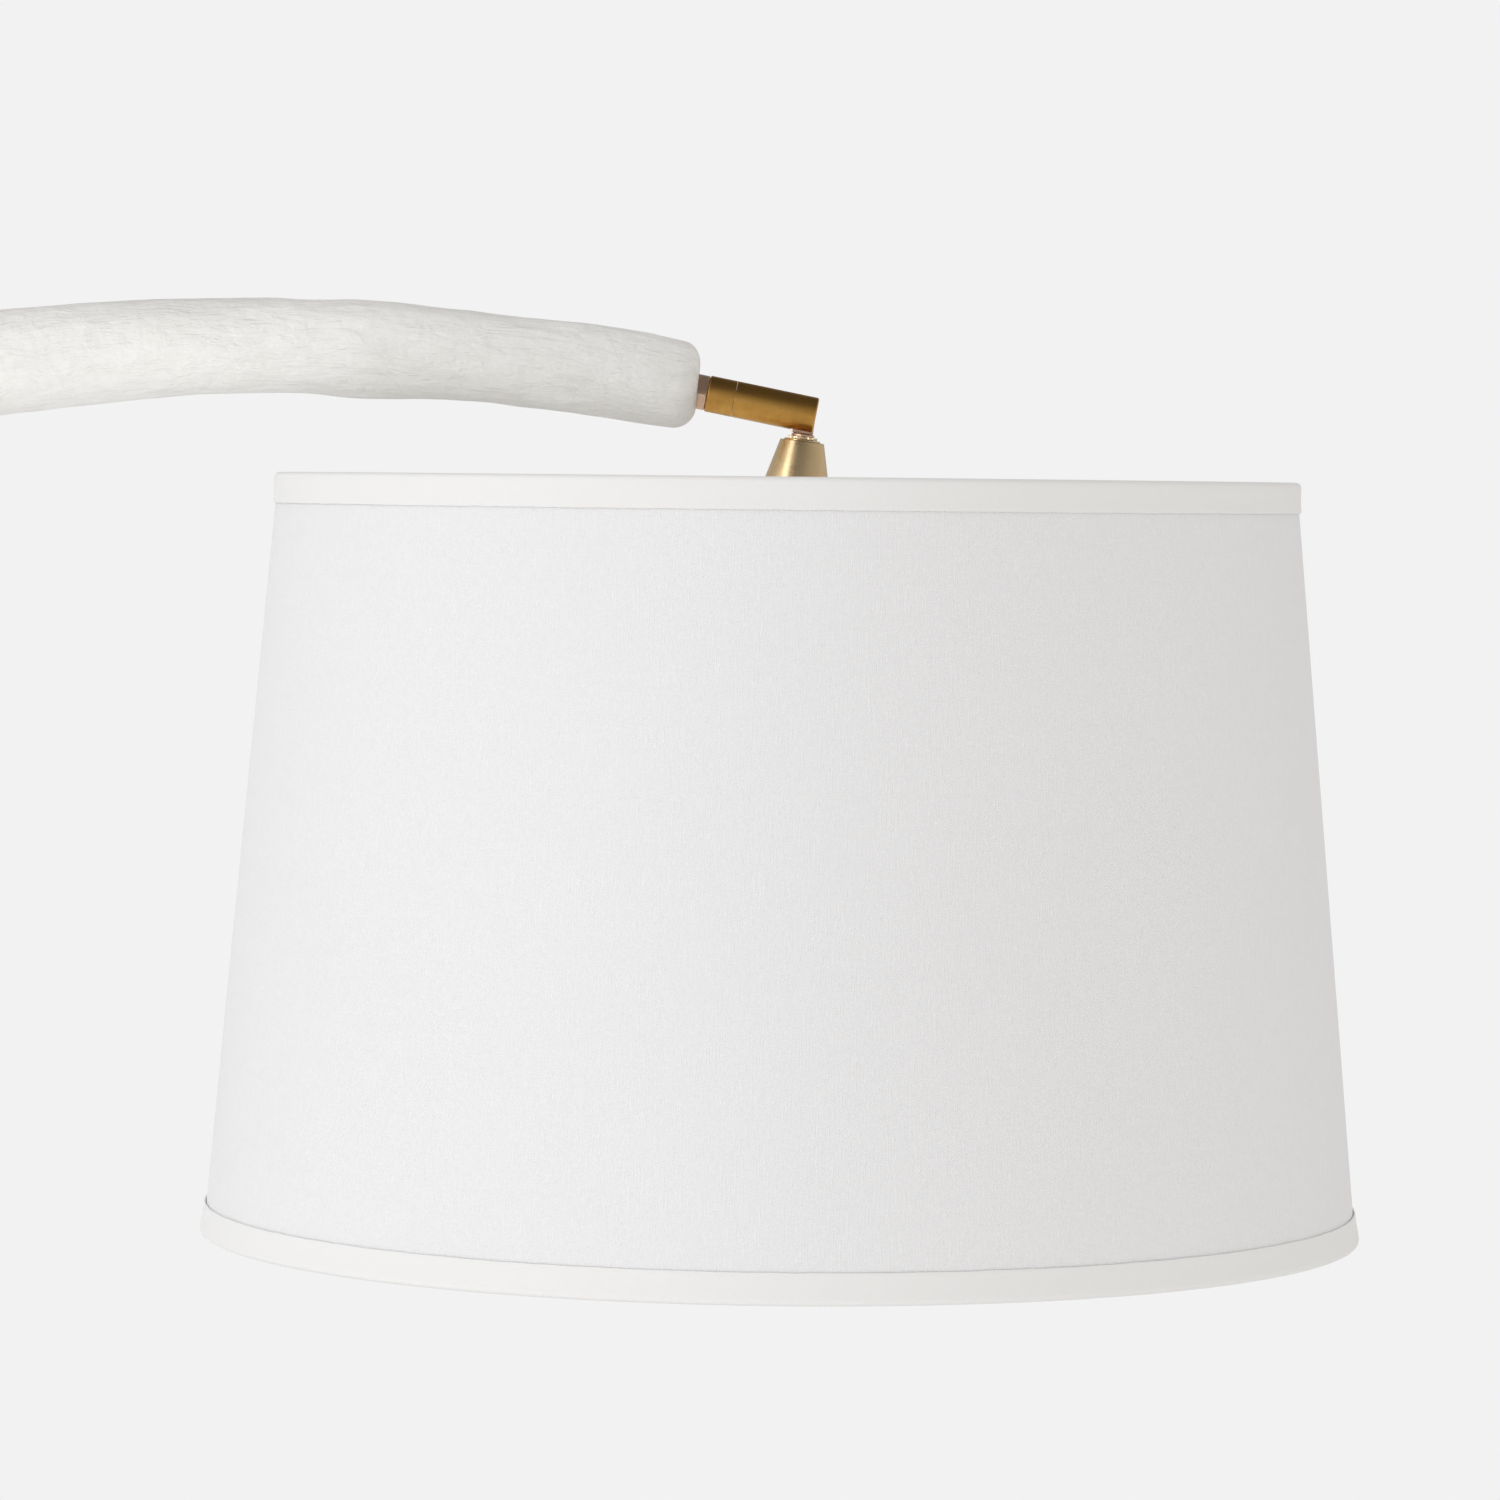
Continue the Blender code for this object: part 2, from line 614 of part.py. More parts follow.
# --- swivel ---------------------------------------------------------------------------------
def swivel(barrel_axis):
    """The pieces between the arm and the barrel, and the barrel with its pin.

    The barrel axis's local Z runs along the barrel, and its local X points to the underside.
    """
    end_wall = COLLAR_TO_ARM + ARM_END_WALL
    bush = [
        (NIPPLE_RADIUS + GAP, -end_wall - GAP),
        (BUSHING_RADIUS, -end_wall - GAP),
        (BUSHING_RADIUS, -end_wall - BUSHING_LENGTH),
        (NIPPLE_RADIUS + GAP, -end_wall - BUSHING_LENGTH),
    ]
    turned("tip_bushing", bush, SIDES_SMALL, "steel", barrel_axis)
    nipple = [
        (NIPPLE_RADIUS, 6 * MM),
        (NIPPLE_RADIUS, -end_wall - BUSHING_LENGTH),
        (NIPPLE_BORE, -end_wall - BUSHING_LENGTH),
        (NIPPLE_BORE, 6 * MM),
    ]
    turned("swivel_nipple", nipple, SIDES_SMALL, "brass", barrel_axis)
    hex_nut(barrel_axis)
    head_start = 6.8 * MM
    shoulder = 8.6 * MM
    collar = [
        (NIPPLE_RADIUS + GAP, 0),
        (BARREL_RADIUS - 0.6 * MM, 0),
        (BARREL_RADIUS, 0.6 * MM),
        (BARREL_RADIUS, COLLAR_LENGTH - 0.4 * MM),
        (BARREL_RADIUS - 0.4 * MM, COLLAR_LENGTH),
        (SPINDLE_RADIUS + GAP, COLLAR_LENGTH),
        (SPINDLE_RADIUS + GAP, shoulder),
        (NIPPLE_RADIUS + GAP, shoulder),
    ]
    turned("swivel_collar", collar, SIDES_SMALL, "brass", barrel_axis)
    spindle = [
        (SPINDLE_BORE, head_start),
        (NIPPLE_RADIUS, head_start),
        (NIPPLE_RADIUS, shoulder - GAP),
        (SPINDLE_RADIUS, shoulder - GAP),
        (SPINDLE_RADIUS, 20 * MM),
        (SPINDLE_BORE, 20 * MM),
    ]
    turned("swivel_spindle", spindle, SIDES_SMALL, "steel", barrel_axis)
    spring_washer(barrel_axis)
    clip = [(SPINDLE_RADIUS + GAP, z) for z in (17 * MM, 18 * MM)] + [(5.8 * MM, z) for z in (18 * MM, 17 * MM)]
    turned("retaining_clip", clip, SIDES_SMALL, "steel", barrel_axis)


def hex_nut(barrel_axis):
    """The chamfered nut that locks the swivel against the arm's end."""
    low = -COLLAR_TO_ARM + GAP
    high = -GAP
    bevel = 0.7 * MM
    corner = NUT_APOTHEM / cos(pi / 6)
    rings = [
        hexagon_ring(NUT_APOTHEM, NUT_APOTHEM, low),
        hexagon_ring(NUT_APOTHEM, corner, low + bevel),
        hexagon_ring(NUT_APOTHEM, corner, high - bevel),
        hexagon_ring(NUT_APOTHEM, NUT_APOTHEM, high),
        circle_ring(NIPPLE_RADIUS + GAP, high),
        circle_ring(NIPPLE_RADIUS + GAP, low),
    ]
    lofted("hex_nut", rings, "pale_brass", barrel_axis)


def spring_washer(barrel_axis):
    """The wave washer that gives the barrel its friction: three waves round a thin ring."""
    middle = 16 * MM
    wave = 0.25 * MM
    half = 0.2 * MM
    rings = []
    for radius, side in ((SPINDLE_RADIUS + GAP, 1), (5.8 * MM, 1), (5.8 * MM, -1), (SPINDLE_RADIUS + GAP, -1)):
        ring = circle_ring(radius, middle + side * half)
        for i, point in enumerate(ring):
            point.z += wave * sin(6 * pi * i / SIDES_SMALL)
        rings.append(ring)
    lofted("wave_washer", rings, "steel", barrel_axis)


def swivel_barrel(barrel_axis):
    """The turning barrel: bored for the spindle, and slotted below and at its end."""
    start = COLLAR_LENGTH + GAP
    edge = 1 * MM
    outline = [
        (0, BORE_END),
        (BARREL_BORE, BORE_END),
        (BARREL_BORE, BORE_START),
        (SPINDLE_RADIUS + GAP, BORE_START),
        (SPINDLE_RADIUS + GAP, start),
        (BARREL_RADIUS - 0.4 * MM, start),
        (BARREL_RADIUS, start + 0.4 * MM),
        (BARREL_RADIUS, BARREL_END - edge),
        (BARREL_RADIUS - 0.3 * edge, BARREL_END - 0.3 * edge),
        (BARREL_RADIUS - edge, BARREL_END),
        (0, BARREL_END),
    ]
    barrel = turned("swivel_barrel", outline, SIDES_SMALL, "brass", barrel_axis, closed=False)
    roof = TONGUE_WIDTH / 2 + GAP
    slot = box_cutter(
        "tongue_slot",
        (-roof, -SLOT_WIDTH / 2, PIVOT_B - roof),
        (BARREL_RADIUS + 1 * MM, SLOT_WIDTH / 2, BARREL_END + 1 * MM),
        barrel_axis,
    )
    way = cylinder_cutter("wire_way", 2 * MM, (0, 0, BORE_END - 1 * MM), (0, 0, PIVOT_B), barrel_axis)
    hole = cylinder_cutter(
        "pin_hole",
        PIN_RADIUS + GAP,
        (0, -BARREL_RADIUS + 2.6 * MM, PIVOT_B),
        (0, BARREL_RADIUS + 2 * MM, PIVOT_B),
        barrel_axis,
    )
    cut(barrel, slot, way, hole)


def pivot_pin(barrel_axis):
    """The pin through the barrel and the tongue, pressed in from the back."""
    near = -BARREL_RADIUS + 2.6 * MM + GAP
    far = BARREL_RADIUS - 0.8 * MM
    pin_axis = axis_empty("pivot_pin_axis", PIVOT, (-pi / 2, 0, 0), barrel_axis)
    outline = [
        (0, far),
        (PIN_RADIUS - 0.4 * MM, far),
        (PIN_RADIUS, far - 0.4 * MM),
        (PIN_RADIUS, near),
        (0, near),
    ]
    turned("pivot_pin", outline, SIDES_SCREW, "steel", pin_axis, closed=False)


# --- head -----------------------------------------------------------------------------------
def knuckle(head_axis):
    """The tongue that sits in the barrel's slot, and the hollow stud below it."""
    radius = TONGUE_WIDTH / 2
    phase = pi / SIDES_SMALL
    rings = []
    for part in (0.985, 0.87, 0.64, 0.34, 0.0):
        width = 2 * radius * sqrt(1 - part * part)
        rings.append(slab_ring(width, TONGUE_THICKNESS, radius * part))
    rings += [
        slab_ring(TONGUE_WIDTH, TONGUE_THICKNESS, -8.7 * MM),
        circle_ring(radius, -9.2 * MM, phase=phase),
        circle_ring(radius, -10 * MM, phase=phase),
        circle_ring(STUD_RADIUS, -10 * MM, phase=phase),
        circle_ring(STUD_RADIUS, -36 * MM, phase=phase),
        circle_ring(STUD_BORE, -36 * MM, phase=phase),
        circle_ring(STUD_BORE, -12 * MM, phase=phase),
    ]
    tongue = lofted("knuckle", rings, "pale_brass", head_axis, closed=False)
    reach = SLOT_WIDTH
    cut(tongue, cylinder_cutter("tongue_hole", PIN_RADIUS + GAP, (0, -reach, 0), (0, reach, 0), head_axis))


def lock_washer(head_axis):
    """The toothed washer between the knuckle's shoulder and the cup."""
    low, high = -11.1 * MM, -10.3 * MM
    teeth = 10
    sides = 4 * teeth
    outer = 6.6 * MM
    root = 5.6 * MM

    def toothed(height):
        ring = circle_ring(outer, height, sides)
        for i, point in enumerate(ring):
            if i % 4 > 1:
                point.xy *= root / outer
        return ring

    inner = STUD_RADIUS + GAP
    rings = [toothed(high), toothed(low), circle_ring(inner, low, sides), circle_ring(inner, high, sides)]
    lofted("lock_washer", rings, "steel", head_axis)


def cup_radius(d):
    """The cup's outer radius at a distance below the pivot."""
    start = CUP_TOP + CUP_SHOULDER
    return CUP_TOP_RADIUS + (CUP_BOTTOM_RADIUS - CUP_TOP_RADIUS) * (d - start) / (CUP_BOTTOM - start)


def socket_cup(head_axis):
    """The brass cup, a thin cone that hides the socket, with a low boss round the stud."""
    hole = STUD_RADIUS + GAP
    shoulder = CUP_TOP + CUP_SHOULDER
    under = shoulder + 0.2 * MM
    outline = [
        (hole, -CUP_TOP),
        (CUP_BOSS_RADIUS - 0.5 * MM, -CUP_TOP),
        (CUP_BOSS_RADIUS, -CUP_TOP - 0.6 * MM),
        (CUP_TOP_RADIUS - 0.5 * MM, -CUP_TOP - 0.8 * MM),
        (CUP_TOP_RADIUS, -shoulder),
        (cup_radius(35 * MM), -35 * MM),
        (CUP_BOTTOM_RADIUS, -CUP_BOTTOM),
        (CUP_BOTTOM_RADIUS - CUP_WALL, -CUP_BOTTOM),
        (cup_radius(35 * MM) - CUP_WALL, -35 * MM),
        (CUP_TOP_RADIUS - CUP_WALL, -under),
        (hole, -under),
    ]
    cup = turned("socket_cup", outline, SIDES_SMALL, "pale_brass", head_axis)
    start = (0, -12 * MM, -SWITCH_D)
    cut(cup, cylinder_cutter("switch_hole", 2.8 * MM, start, (0, -22 * MM, -SWITCH_D), head_axis))


def cup_nut(head_axis):
    """The thin nut inside the cup that clamps it against the washer."""
    low, high = -17 * MM, -13.1 * MM
    apothem = 6.3 * MM
    corner = 7.1 * MM
    hole = STUD_RADIUS + GAP
    rings = [
        hexagon_ring(apothem, corner, high),
        hexagon_ring(apothem, corner, low),
        circle_ring(hole, low),
        circle_ring(hole, high),
    ]
    lofted("cup_nut", rings, "steel", head_axis)


def socket_body(head_axis):
    """The moulded lamp socket: a shoulder under the cup, and a threaded skirt below."""
    cavity = 14.7 * MM
    outline = [
        (STUD_BORE, -36.3 * MM),
        (13.4 * MM, -36.3 * MM),
        (17.8 * MM, -CUP_BOTTOM + GAP),
        (17.8 * MM, -CUP_BOTTOM - GAP),
        (22 * MM, -CUP_BOTTOM - GAP),
        (22 * MM, -CUP_BOTTOM - 2.3 * MM),
        (SKIRT_RADIUS, -CUP_BOTTOM - 2.3 * MM),
        (SKIRT_RADIUS, -SKIRT_END + 0.8 * MM),
        (SKIRT_RADIUS - 0.8 * MM, -SKIRT_END),
        (cavity, -SKIRT_END),
        (cavity, -46 * MM),
        (STUD_BORE, -46 * MM),
    ]
    body = turned("socket_body", outline, SIDES_SMALL, "phenolic", head_axis)
    start = (0, -9 * MM, -SWITCH_D)
    cut(body, cylinder_cutter("shaft_hole", 2.4 * MM, start, (0, -18 * MM, -SWITCH_D), head_axis))


def socket_contacts(head_axis):
    """The screw shell that takes the bulb, and the leaf that presses on its tip."""
    shell = [(13.5 * MM, -48 * MM), (14.2 * MM, -48 * MM), (14.2 * MM, -78 * MM), (13.5 * MM, -78 * MM)]
    turned("screw_shell", shell, SIDES_SMALL, "brass", head_axis)
    thickness = 0.5 * MM
    bends = ((-9, -46.8), (-5, -46.8), (-3, -47.4), (3, -47.4))
    lower = [(x * MM, z * MM) for x, z in bends]
    upper = [(x, z + thickness) for x, z in reversed(lower)]
    half = 2.5 * MM
    rings = [[Vector((x, y, z)) for x, z in lower + upper] for y in (-half, half)]
    lofted("contact_spring", rings, "brass", head_axis, closed=False)


def switch(head_axis):
    """The turn switch: a shaft out of the socket, and a fluted knob outside the cup."""
    place = PIVOT + HEAD_LINE * SWITCH_D
    switch_axis = axis_empty("switch_axis", place, (pi / 2, 0, 0), head_axis)
    shaft = [(0, 28 * MM), (2 * MM, 28 * MM), (2 * MM, 9.3 * MM), (0, 9.3 * MM)]
    turned("switch_shaft", shaft, SIDES_SCREW, "steel", switch_axis, closed=False)
    bore = 2.3 * MM

    def fluted(radius, height):
        ring = circle_ring(radius, height)
        for point in ring[::2]:
            point.xy *= 0.93
        return ring

    rings = [
        circle_ring(bore, 28.3 * MM),
        circle_ring(bore, 18.6 * MM),
        fluted(4.4 * MM, 18.6 * MM),
        fluted(5.2 * MM, 20 * MM),
        fluted(5.2 * MM, 30 * MM),
        fluted(4.5 * MM, 31 * MM),
    ]
    lofted("switch_knob", rings, "brass", switch_axis, closed=False)


def bulb(head_axis):
    """The lamp bulb: its screw cap, the insulated tip, and the open-necked glass."""
    cap = [
        (8.5 * MM, -50 * MM),
        (12.7 * MM, -53 * MM),
        (13 * MM, -54 * MM),
        (13 * MM, -76.3 * MM),
        (12.4 * MM, -76.3 * MM),
        (12.4 * MM, -54 * MM),
        (8.5 * MM, -50.8 * MM),
    ]
    turned("bulb_cap", cap, SIDES_SMALL, "steel", head_axis)
    tip = [
        (0, -47.9 * MM),
        (3 * MM, -47.9 * MM),
        (4 * MM, -49 * MM),
        (8.1 * MM, -50.2 * MM),
        (8.1 * MM, -51.6 * MM),
        (0, -51.6 * MM),
    ]
    turned("bulb_tip", tip, SIDES_SMALL, "phenolic", head_axis, closed=False)
    neck_start = 76.6 * MM
    neck_radius = 12.4 * MM
    wall = 0.9 * MM
    outer = [(BULB_RADIUS * cos(a), BULB_CENTRE + BULB_RADIUS * sin(a)) for a in (pi / 2 * i / 6 for i in range(7))]
    outer.reverse()
    for i in range(1, 6):
        part = i / 5
        blend = part * part * (3 - 2 * part)
        d = BULB_CENTRE + (neck_start - BULB_CENTRE) * part
        outer.append((BULB_RADIUS + (neck_radius - BULB_RADIUS) * blend, d))
    scale = (BULB_RADIUS - wall) / BULB_RADIUS
    inner = []
    for radius, d in outer:
        shift = BULB_CENTRE + (d - BULB_CENTRE) * scale if d > BULB_CENTRE else d
        inner.append((max(radius - wall, 0) if d < BULB_CENTRE else radius * scale, shift))
    outline = [(radius, -d) for radius, d in outer] + [(radius, -d) for radius, d in reversed(inner)]
    outline[0] = (0, outline[0][1])
    outline[-1] = (0, outline[-1][1])
    turned("bulb_glass", outline, SIDES_SMALL, "frosted_glass", head_axis, closed=False)


def shade_ring_nut(head_axis):
    """The ring on the socket's skirt that carries the shade."""
    low, high = -73 * MM, -68 * MM
    inner = SKIRT_RADIUS + 2 * GAP
    outer = 24 * MM
    edge = 0.8 * MM
    outline = [(inner, high), (outer - edge, high), (outer, high - edge), (outer, low), (inner, low)]
    turned("shade_ring_nut", outline, SIDES_SMALL, "phenolic", head_axis)


# --- shade ----------------------------------------------------------------------------------
def shade_radius(height):
    """The linen's outer radius at a height below the top rim, which is zero."""
    return SHADE_TOP_RADIUS + (SHADE_BOTTOM_RADIUS - SHADE_TOP_RADIUS) * (-height / SHADE_HEIGHT)


def shade_wall(name, finish, outer_inset, thickness, shade_axis):
    """A thin conical wall inside the linen's outer surface."""
    top = -RIM_FOLD
    low = -SHADE_HEIGHT + RIM_FOLD
    inner_inset = outer_inset + thickness
    outline = [
        (shade_radius(top) - outer_inset, top),
        (shade_radius(low) - outer_inset, low),
        (shade_radius(low) - inner_inset, low),
        (shade_radius(top) - inner_inset, top),
    ]
    turned(name, outline, SIDES_SHADE, finish, shade_axis)


def rim_wire(name, height, shade_axis):
    """A round wire ring just inside the rim."""
    centre = shade_radius(height) - WIRE_INSET
    angles = [2 * pi * i / 6 for i in range(6)]
    outline = [(centre + WIRE_RADIUS * cos(a), height + WIRE_RADIUS * sin(a)) for a in angles]
    turned(name, outline, SIDES_SHADE, "white_wire", shade_axis)


def rim_trim(name, rim, inward, shade_axis):
    """The tape folded over a rim: tall outside, and just round the wire inside.

    rim is the rim's height, and inward is -1 where the shade hangs below it, or 1 above it.
    """
    # distance out from the linen, and distance in from the rim
    section = (
        (0.3, 13.3),
        (1.4, 13.3),
        (1.8, 1.6),
        (0.4, 0.0),
        (-4.2, 0.0),
        (-6.5, 2.0),
        (-6.5, 5.6),
        (-5.7, 5.6),
        (-5.7, 2.4),
        (-3.9, 0.9),
        (0.3, 0.9),
    )
    outline = []
    for out, depth in section:
        height = rim + inward * depth * MM
        outline.append((shade_radius(height) + out * MM, height))
    turned(name, outline, SIDES_SHADE, "tape", shade_axis)


def spider(shade_axis):
    """The hub ring that sits on the socket, and the three arms up to the top wire."""
    hub_height = HUB_CENTRE.z - SHADE_TOP.z
    half = HUB_THICKNESS / 2
    outline = [
        (HUB_HOLE, hub_height + half),
        (HUB_RADIUS, hub_height + half),
        (HUB_RADIUS, hub_height - half),
        (HUB_HOLE, hub_height - half),
    ]
    turned("spider_hub", outline, SIDES_SMALL, "white_wire", shade_axis)
    rod_radius = 1.5 * MM
    wire_centre = shade_radius(-WIRE_INSET) - WIRE_INSET
    end_height = -WIRE_INSET - WIRE_RADIUS - GAP
    knots = (
        (HUB_RADIUS + GAP, hub_height),
        (60 * MM, hub_height),
        (190 * MM, hub_height + 9 * MM),
        (210 * MM, hub_height + 14 * MM),
        (wire_centre - 0.6 * MM, end_height - 8 * MM),
        (wire_centre, end_height),
    )
    for i, degrees in enumerate(SPIDER_ANGLES):
        out = Vector((cos(radians(degrees)), sin(radians(degrees)), 0))
        points = [out * reach + Vector((0, 0, height)) for reach, height in knots]
        rod(f"spider_arm_{i + 1}", smooth_route(points, 3), rod_radius, "white_wire", shade_axis)


def shade(shade_axis):
    """The whole shade, in its own frame with the top rim at zero."""
    shade_wall("shade_fabric", "linen", 0.0, FABRIC_THICKNESS, shade_axis)
    shade_wall("shade_liner", "liner", FABRIC_THICKNESS + GAP, LINER_THICKNESS, shade_axis)
    rim_wire("top_wire", -WIRE_INSET, shade_axis)
    rim_wire("bottom_wire", -SHADE_HEIGHT + WIRE_INSET, shade_axis)
    rim_trim("top_trim", 0.0, -1, shade_axis)
    rim_trim("bottom_trim", -SHADE_HEIGHT, 1, shade_axis)
    spider(shade_axis)


# --- leads held inside the lamp -------------------------------------------------------------
def stand_lead():
    """The lead from the gland, under the weight, up the post and along the arm."""
    radius = 2.2 * MM
    start = -CAVITY_RADIUS + 8 * MM
    turn = 13 * MM
    points = [Vector((start + (-turn - start) * i / 4, 0, GLAND_HEIGHT)) for i in range(5)]
    for i in range(1, 5):
        angle = pi / 2 * i / 4
        points.append(Vector((-turn + turn * sin(angle), 0, GLAND_HEIGHT + turn * (1 - cos(angle)))))
    rise = 12
    points += [Vector((0, 0, GLAND_HEIGHT + turn + (SEAM_Z - GLAND_HEIGHT - turn) * i / rise)) for i in range(1, rise)]
    points += [point for point, _, _ in ARM_STATIONS]
    points.append(ARM_END + BARREL_LINE * (COLLAR_TO_ARM + 5 * MM))
    rod("stand_lead", points, radius, "cord_jacket", resolution=1)


def head_lead(head_axis):
    """The lead inside the knuckle's stud, down to the socket's terminals."""
    points = [Vector((0, 0, z * MM)) for z in (-13, -20, -28, -36, -45)]
    rod("head_lead", points, 1.9 * MM, "cord_jacket", head_axis, resolution=1)


# --- the lamp -------------------------------------------------------------------------------
def build():
    """Make every sub-part in its place."""
    clear_scene()
    felt_pad()
    weight_top = base_weight()
    base_cover()
    cord_gland()
    flange_top = post_flange(weight_top)
    flange_screws(flange_top)
    post_tube(flange_top)
    post_coat()
    joint_ring()
    coupling_sleeve()
    set_screw()
    arm_tube()
    arm_coat()
    stand_lead()

    slope = atan2(BARREL_LINE.x, BARREL_LINE.z)
    barrel_axis = axis_empty("barrel_turn_axis", COLLAR_START, (0, slope, 0))
    swivel(barrel_axis)
    swivel_barrel(barrel_axis)
    pivot_pin(barrel_axis)

    head_axis = axis_empty("knuckle_tilt_axis", PIVOT, (0, HEAD_LEAN, 0), barrel_axis)
    knuckle(head_axis)
    lock_washer(head_axis)
    socket_cup(head_axis)
    cup_nut(head_axis)
    socket_body(head_axis)
    socket_contacts(head_axis)
    switch(head_axis)
    bulb(head_axis)
    shade_ring_nut(head_axis)
    head_lead(head_axis)

    shade_axis = axis_empty("shade_axis", SHADE_TOP, (0, 0, 0), head_axis)
    shade(shade_axis)


build()
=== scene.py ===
"""The arc floor lamp's finished look: plaster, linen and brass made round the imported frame.

Every size is in metres. Each sub-assembly is a class that builds its own meshes and dresses
them, and each finish is a small frozen dataclass that makes one material.
"""

from __future__ import annotations

import json
import logging
from collections.abc import Callable, Iterable, Sequence
from dataclasses import dataclass, field
from enum import Enum
from math import acos, atan2, cos, hypot, pi, radians, sin, tan

import bmesh
import bpy
from mathutils import Matrix, Vector, noise


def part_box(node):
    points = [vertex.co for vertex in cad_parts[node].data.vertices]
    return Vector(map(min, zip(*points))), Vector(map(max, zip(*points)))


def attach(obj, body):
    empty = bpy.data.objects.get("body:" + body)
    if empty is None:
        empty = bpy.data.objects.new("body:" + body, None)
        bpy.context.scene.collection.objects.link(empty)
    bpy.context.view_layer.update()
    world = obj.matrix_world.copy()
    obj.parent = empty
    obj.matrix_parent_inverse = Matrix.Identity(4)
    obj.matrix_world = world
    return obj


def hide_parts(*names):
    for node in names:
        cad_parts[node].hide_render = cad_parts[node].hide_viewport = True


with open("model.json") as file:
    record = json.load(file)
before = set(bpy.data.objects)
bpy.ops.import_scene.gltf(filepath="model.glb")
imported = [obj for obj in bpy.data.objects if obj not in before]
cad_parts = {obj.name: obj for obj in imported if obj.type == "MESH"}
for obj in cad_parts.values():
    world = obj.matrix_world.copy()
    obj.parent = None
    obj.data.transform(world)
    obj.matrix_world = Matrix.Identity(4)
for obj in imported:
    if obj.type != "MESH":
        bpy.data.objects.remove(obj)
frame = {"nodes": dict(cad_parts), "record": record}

MM = 0.001
TURN = 2 * pi
LOG = logging.getLogger("arc_lamp")

Ring = list[Vector]
Outline = list[tuple[float, float]]


class Body(Enum):
    """The moving bodies that a piece can ride on."""

    STAND = "stand"
    BARREL = "barrel"
    HEAD = "head"
    SWITCH = "switch"


# --------------------------------------------------------------------------------------------
# The frame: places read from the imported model
# --------------------------------------------------------------------------------------------
def joint_line(name: str) -> tuple[Vector, Vector]:
    """Read a joint's point and axis.

    Args:
        name: the joint's name in the record.

    Returns:
        A point on the axis, and the axis's direction.
    """
    joints = frame["record"]["behaviour"]["joints"]
    found = next(joint for joint in joints if joint["name"] == name)
    return Vector(found["pos_m"]), Vector(found["axis"]).normalized()


def node_box(name: str) -> tuple[Vector, Vector]:
    """Read a node's box.

    Args:
        name: the node's name.

    Returns:
        Its lowest and its highest corner.
    """
    low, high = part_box(name)
    return Vector(low), Vector(high)


def axes_at(origin: Vector, up: Vector) -> Matrix:
    """Make a frame whose Z runs along a line in the lamp's middle plane.

    Args:
        origin: the frame's origin.
        up: the direction of its Z, with no Y in it.

    Returns:
        The frame, with its Y along the lamp's Y.
    """
    return Matrix.Translation(origin) @ Matrix.Rotation(atan2(up.x, up.z), 4, "Y")


@dataclass(frozen=True)
class Places:
    """The frames that the sub-assemblies are built in."""

    collar: Vector
    barrel_line: Vector
    pivot: Vector
    head_line: Vector
    switch: Vector
    shade_top: Vector

    @classmethod
    def read(cls) -> Places:
        """Work the frames out from the joints and the shade's box."""
        collar, barrel_line = joint_line("barrel_turn")
        pivot, _ = joint_line("knuckle_tilt")
        switch, _ = joint_line("switch_turn")
        low, high = node_box("top_trim")
        middle = (low + high) / 2
        return cls(
            collar=collar,
            barrel_line=barrel_line,
            pivot=pivot,
            head_line=(switch - pivot).normalized(),
            switch=switch,
            shade_top=Vector((middle.x, middle.y, high.z)),
        )

    @property
    def barrel_axes(self) -> Matrix:
        """Z along the barrel from the collar, and X towards its underside."""
        return axes_at(self.collar, self.barrel_line)

    @property
    def head_axes(self) -> Matrix:
        """Z up the head's leaning axis, from the pivot."""
        return axes_at(self.pivot, -self.head_line)

    @property
    def switch_axes(self) -> Matrix:
        """Z out of the socket along the switch's shaft."""
        return Matrix.Translation(self.switch) @ Matrix.Rotation(pi / 2, 4, "X")

    @property
    def shade_axes(self) -> Matrix:
        """Upright, at the middle of the shade's top rim."""
        return Matrix.Translation(self.shade_top)

    @property
    def barrel_end(self) -> float:
        """The distance from the collar's start to the pivot pin."""
        return (self.pivot - self.collar).length


# --------------------------------------------------------------------------------------------
# Mesh tools
# --------------------------------------------------------------------------------------------
def wobble(x: float, y: float, z: float) -> float:
    """Smooth noise from about -1 to 1 at a point."""
    return noise.noise(Vector((x, y, z)))


def lerp(low: float, high: float, part: float) -> float:
    """A straight blend of two values."""
    return low + (high - low) * part


def smooth_step(part: float) -> float:
    """Ease from 0 to 1, flat at both ends."""
    part = min(max(part, 0.0), 1.0)
    return part * part * (3 - 2 * part)


def along(table: Sequence[tuple[float, float]], place: float) -> float:
    """Read a short table of stops, eased between them.

    Args:
        table: (place, value) stops in order.
        place: where to read it.

    Returns:
        The value there.
    """
    for (start, low), (end, high) in zip(table, table[1:]):
        if place <= end:
            return lerp(low, high, smooth_step((place - start) / (end - start)))
    return table[-1][1]


def circle(radius: float, height: float, sides: int, phase: float = 0.0) -> Ring:
    """Make a level ring about the local Z axis.

    Args:
        radius: its radius.
        height: its height.
        sides: how many points it has.
        phase: the first point's angle.

    Returns:
        The ring's points.
    """
    angles = [phase + TURN * i / sides for i in range(sides)]
    return [Vector((radius * cos(a), radius * sin(a), height)) for a in angles]


def hexagon(apothem: float, limit: float, height: float, sides: int = 72) -> Ring:
    """Make a hexagonal ring with corners near its Y axis, cut back to a circle.

    Args:
        apothem: half the distance across the flats.
        limit: the radius that the corners are cut back to.
        height: its height.
        sides: how many points it has.

    Returns:
        The ring's points.
    """
    ring = []
    for i in range(sides):
        angle = TURN * i / sides
        radius = min(apothem / cos((angle + pi / 6) % (pi / 3) - pi / 6), limit)
        turned_by = angle + radians(7)
        ring.append(Vector((radius * cos(turned_by), radius * sin(turned_by), height)))
    return ring


